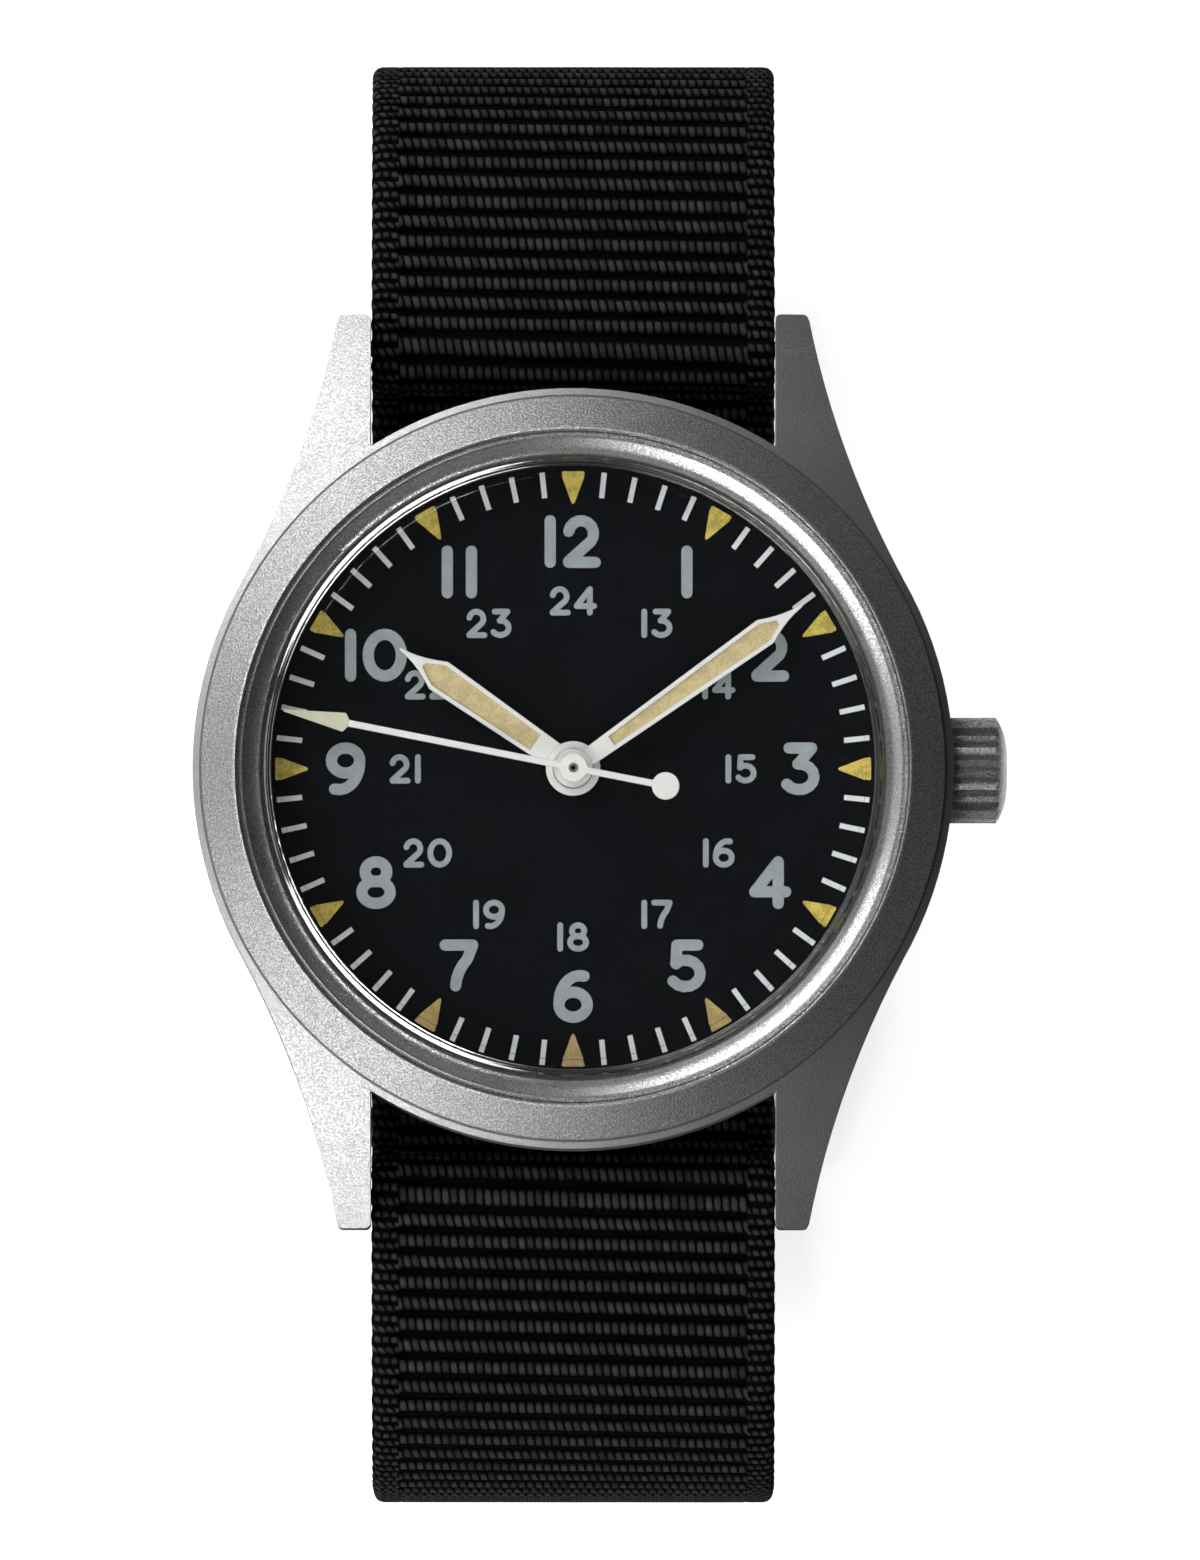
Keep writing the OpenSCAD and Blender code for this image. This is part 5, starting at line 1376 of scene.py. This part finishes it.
# Name, clock direction, elevation, distance, size, setting of its power, and share of that power
LAMPS = (
    ("softbox_upper", 321, 20, 0.62, (0.6, 0.55), "softbox", 1),
    ("strip_upper", 321, 42, 0.6, (0.32, 0.06), "strip", 1),
    ("softbox_lower", 221, 20, 0.62, (0.6, 0.55), "softbox", 1),
    ("strip_lower", 221, 42, 0.6, (0.32, 0.06), "strip", 1),
    ("panel_upper", 32, 36, 0.6, (0.34, 0.4), "panel", 1),
    ("panel_lower", 148, 36, 0.6, (0.34, 0.4), "panel", 1),
    ("panel_left", 270, 30, 0.6, (0.3, 0.3), "panel", 2),
)
FILL_UP = Vector((0, 0, 0.8))
FILL_SIZE = (0.9, 0.9)
# The white card beside the crown, each edge from where it is clear to where it is full
CARD_NEAR = (24 * MM, 30 * MM)
CARD_FAR = (62 * MM, 54 * MM)
CARD_SIDE = (13 * MM, 9 * MM)
FLOOR_HALF = 1.5
BEZEL_TOP = 7.3
SENSOR_W = 36.0
SEEN_OFF = Vector((1.2 * MM, -0.54 * MM, 0))


class WATCH_OT_set_stage(bpy.types.Operator):
    """Lay the floor, hang the lamps and place the camera above the dial."""

    bl_idname = "watch.set_stage"
    bl_label = "Set the Stage"

    def execute(self, context):
        s = context.scene.watch_stage
        scene = context.scene
        head = Vector((0, 0, (CASE_Z + BEZEL_TOP) * MM))
        self.lay_floor(s)

        world = bpy.data.worlds.new("studio")
        world.use_nodes = True
        w = Tree(world.node_tree)
        seen = background_rays(w)[0]
        strength = s.world + (1 - s.world) * seen
        sky = w.node("ShaderNodeBackground", {}, {"Color": (1, 1, 1, 1), "Strength": strength})
        w.node("ShaderNodeOutputWorld", {}, {"Surface": sky})
        scene.world = world

        for name, clock, elevation, distance, size, power, share in LAMPS:
            place = round_place(clock, elevation, distance, head)
            softbox(name, place, head, size, share * getattr(s, power))
        softbox("overhead_fill", head + FILL_UP, head, FILL_SIZE, s.fill, shines_in_gloss=False)

        lens = bpy.data.cameras.new("photo_camera")
        lens.lens = s.lens
        lens.sensor_width = SENSOR_W
        lens.sensor_fit = "AUTO"
        lens.clip_end = 100.0
        camera = put("photo_camera", lens)
        look = Vector((0, math.sin(s.tilt), -math.cos(s.tilt)))
        camera.location = head + SEEN_OFF - look * (s.seen_height * s.lens / SENSOR_W)
        aim(camera, head + SEEN_OFF)
        scene.camera = camera
        scene.view_settings.view_transform = "Standard"
        return {"FINISHED"}

    def lay_floor(self, s):
        """A pale floor that the camera sees as white. In steel it is dark, with a white card beside
        the crown."""
        half = FLOOR_HALF
        corners = [(-half, -half, 0), (half, -half, 0), (half, half, 0), (-half, half, 0)]
        floor = new_piece("floor", corners, [], [(0, 1, 2, 3)])
        t, place = new_material("pale_floor")
        seen, gloss = background_rays(t)
        grain = t.noise(place, 0.4, 2)
        matt = t.principled(
            base_color=t.mix(grain, rgba(s.floor_colour, 0.98), rgba(s.floor_colour, 1.02)),
            roughness=0.9,
            specular_ior_level=0.0,
        )
        glow = t.node("ShaderNodeEmission", {}, {"Color": (1, 1, 1, 1), "Strength": seen * 0.7})
        lit = t.node("ShaderNodeAddShader", {}, {0: matt, 1: glow})
        across = t.split(place)
        beside = t.smooth(across, *CARD_NEAR) * t.smooth(across, *CARD_FAR)
        card = beside * t.smooth(t.math("ABSOLUTE", across.beside("Y")), *CARD_SIDE)
        tone = t.mix(card, rgba([s.mirrored_floor] * 3), rgba([s.mirrored_card] * 3))
        mirrored = t.node("ShaderNodeEmission", {}, {"Color": tone, "Strength": 1.0})
        mixed = t.node("ShaderNodeMixShader", {}, {0: gloss, 1: lit, 2: mirrored})
        floor.data.materials.append(t.close(mixed))


class WATCH_PT_panel(bpy.types.Panel):
    """Sizes, colours and steps of the watch."""

    bl_label = "Field Watch"
    bl_idname = "WATCH_PT_panel"
    bl_space_type = "VIEW_3D"
    bl_region_type = "UI"
    bl_category = "Watch"

    def draw(self, context):
        for title, name in GROUPS.items():
            box = self.layout.box()
            box.label(text=title)
            group = getattr(context.scene, name)
            for key in type(group).__annotations__:
                box.prop(group, key)
        column = self.layout.column(align=True)
        for operator in OPERATORS:
            column.operator(operator.bl_idname)


GROUPS = {
    "Steel": "watch_steel",
    "Dial and Hands": "watch_dial",
    "Movement": "watch_movement",
    "Strap": "watch_strap",
    "Stage": "watch_stage",
}
SETTINGS = (SteelSettings, DialSettings, MovementSettings, StrapSettings, StageSettings)
OPERATORS = (
    WATCH_OT_finish_case,
    WATCH_OT_finish_crystal,
    WATCH_OT_finish_dial,
    WATCH_OT_finish_hands,
    WATCH_OT_finish_movement,
    WATCH_OT_weave_strap,
    WATCH_OT_seal_holes,
    WATCH_OT_weave_keepers,
    WATCH_OT_sew_fold,
    WATCH_OT_finish_buckle,
    WATCH_OT_set_stage,
)


def register():
    for made in (*SETTINGS, *OPERATORS, WATCH_PT_panel):
        bpy.utils.register_class(made)
    for name, settings in zip(GROUPS.values(), SETTINGS):
        setattr(bpy.types.Scene, name, PointerProperty(type=settings))


def unregister():
    for name in GROUPS.values():
        delattr(bpy.types.Scene, name)
    for made in reversed((*SETTINGS, *OPERATORS, WATCH_PT_panel)):
        bpy.utils.unregister_class(made)


def main():
    register()
    bpy.ops.watch.finish_case()
    bpy.ops.watch.finish_crystal()
    bpy.ops.watch.finish_dial()
    bpy.ops.watch.finish_hands()
    bpy.ops.watch.finish_movement()
    bpy.ops.watch.weave_strap()
    bpy.ops.watch.seal_holes()
    bpy.ops.watch.weave_keepers()
    bpy.ops.watch.sew_fold()
    bpy.ops.watch.finish_buckle()
    bpy.ops.watch.set_stage()


if __name__ == "__main__":
    main()
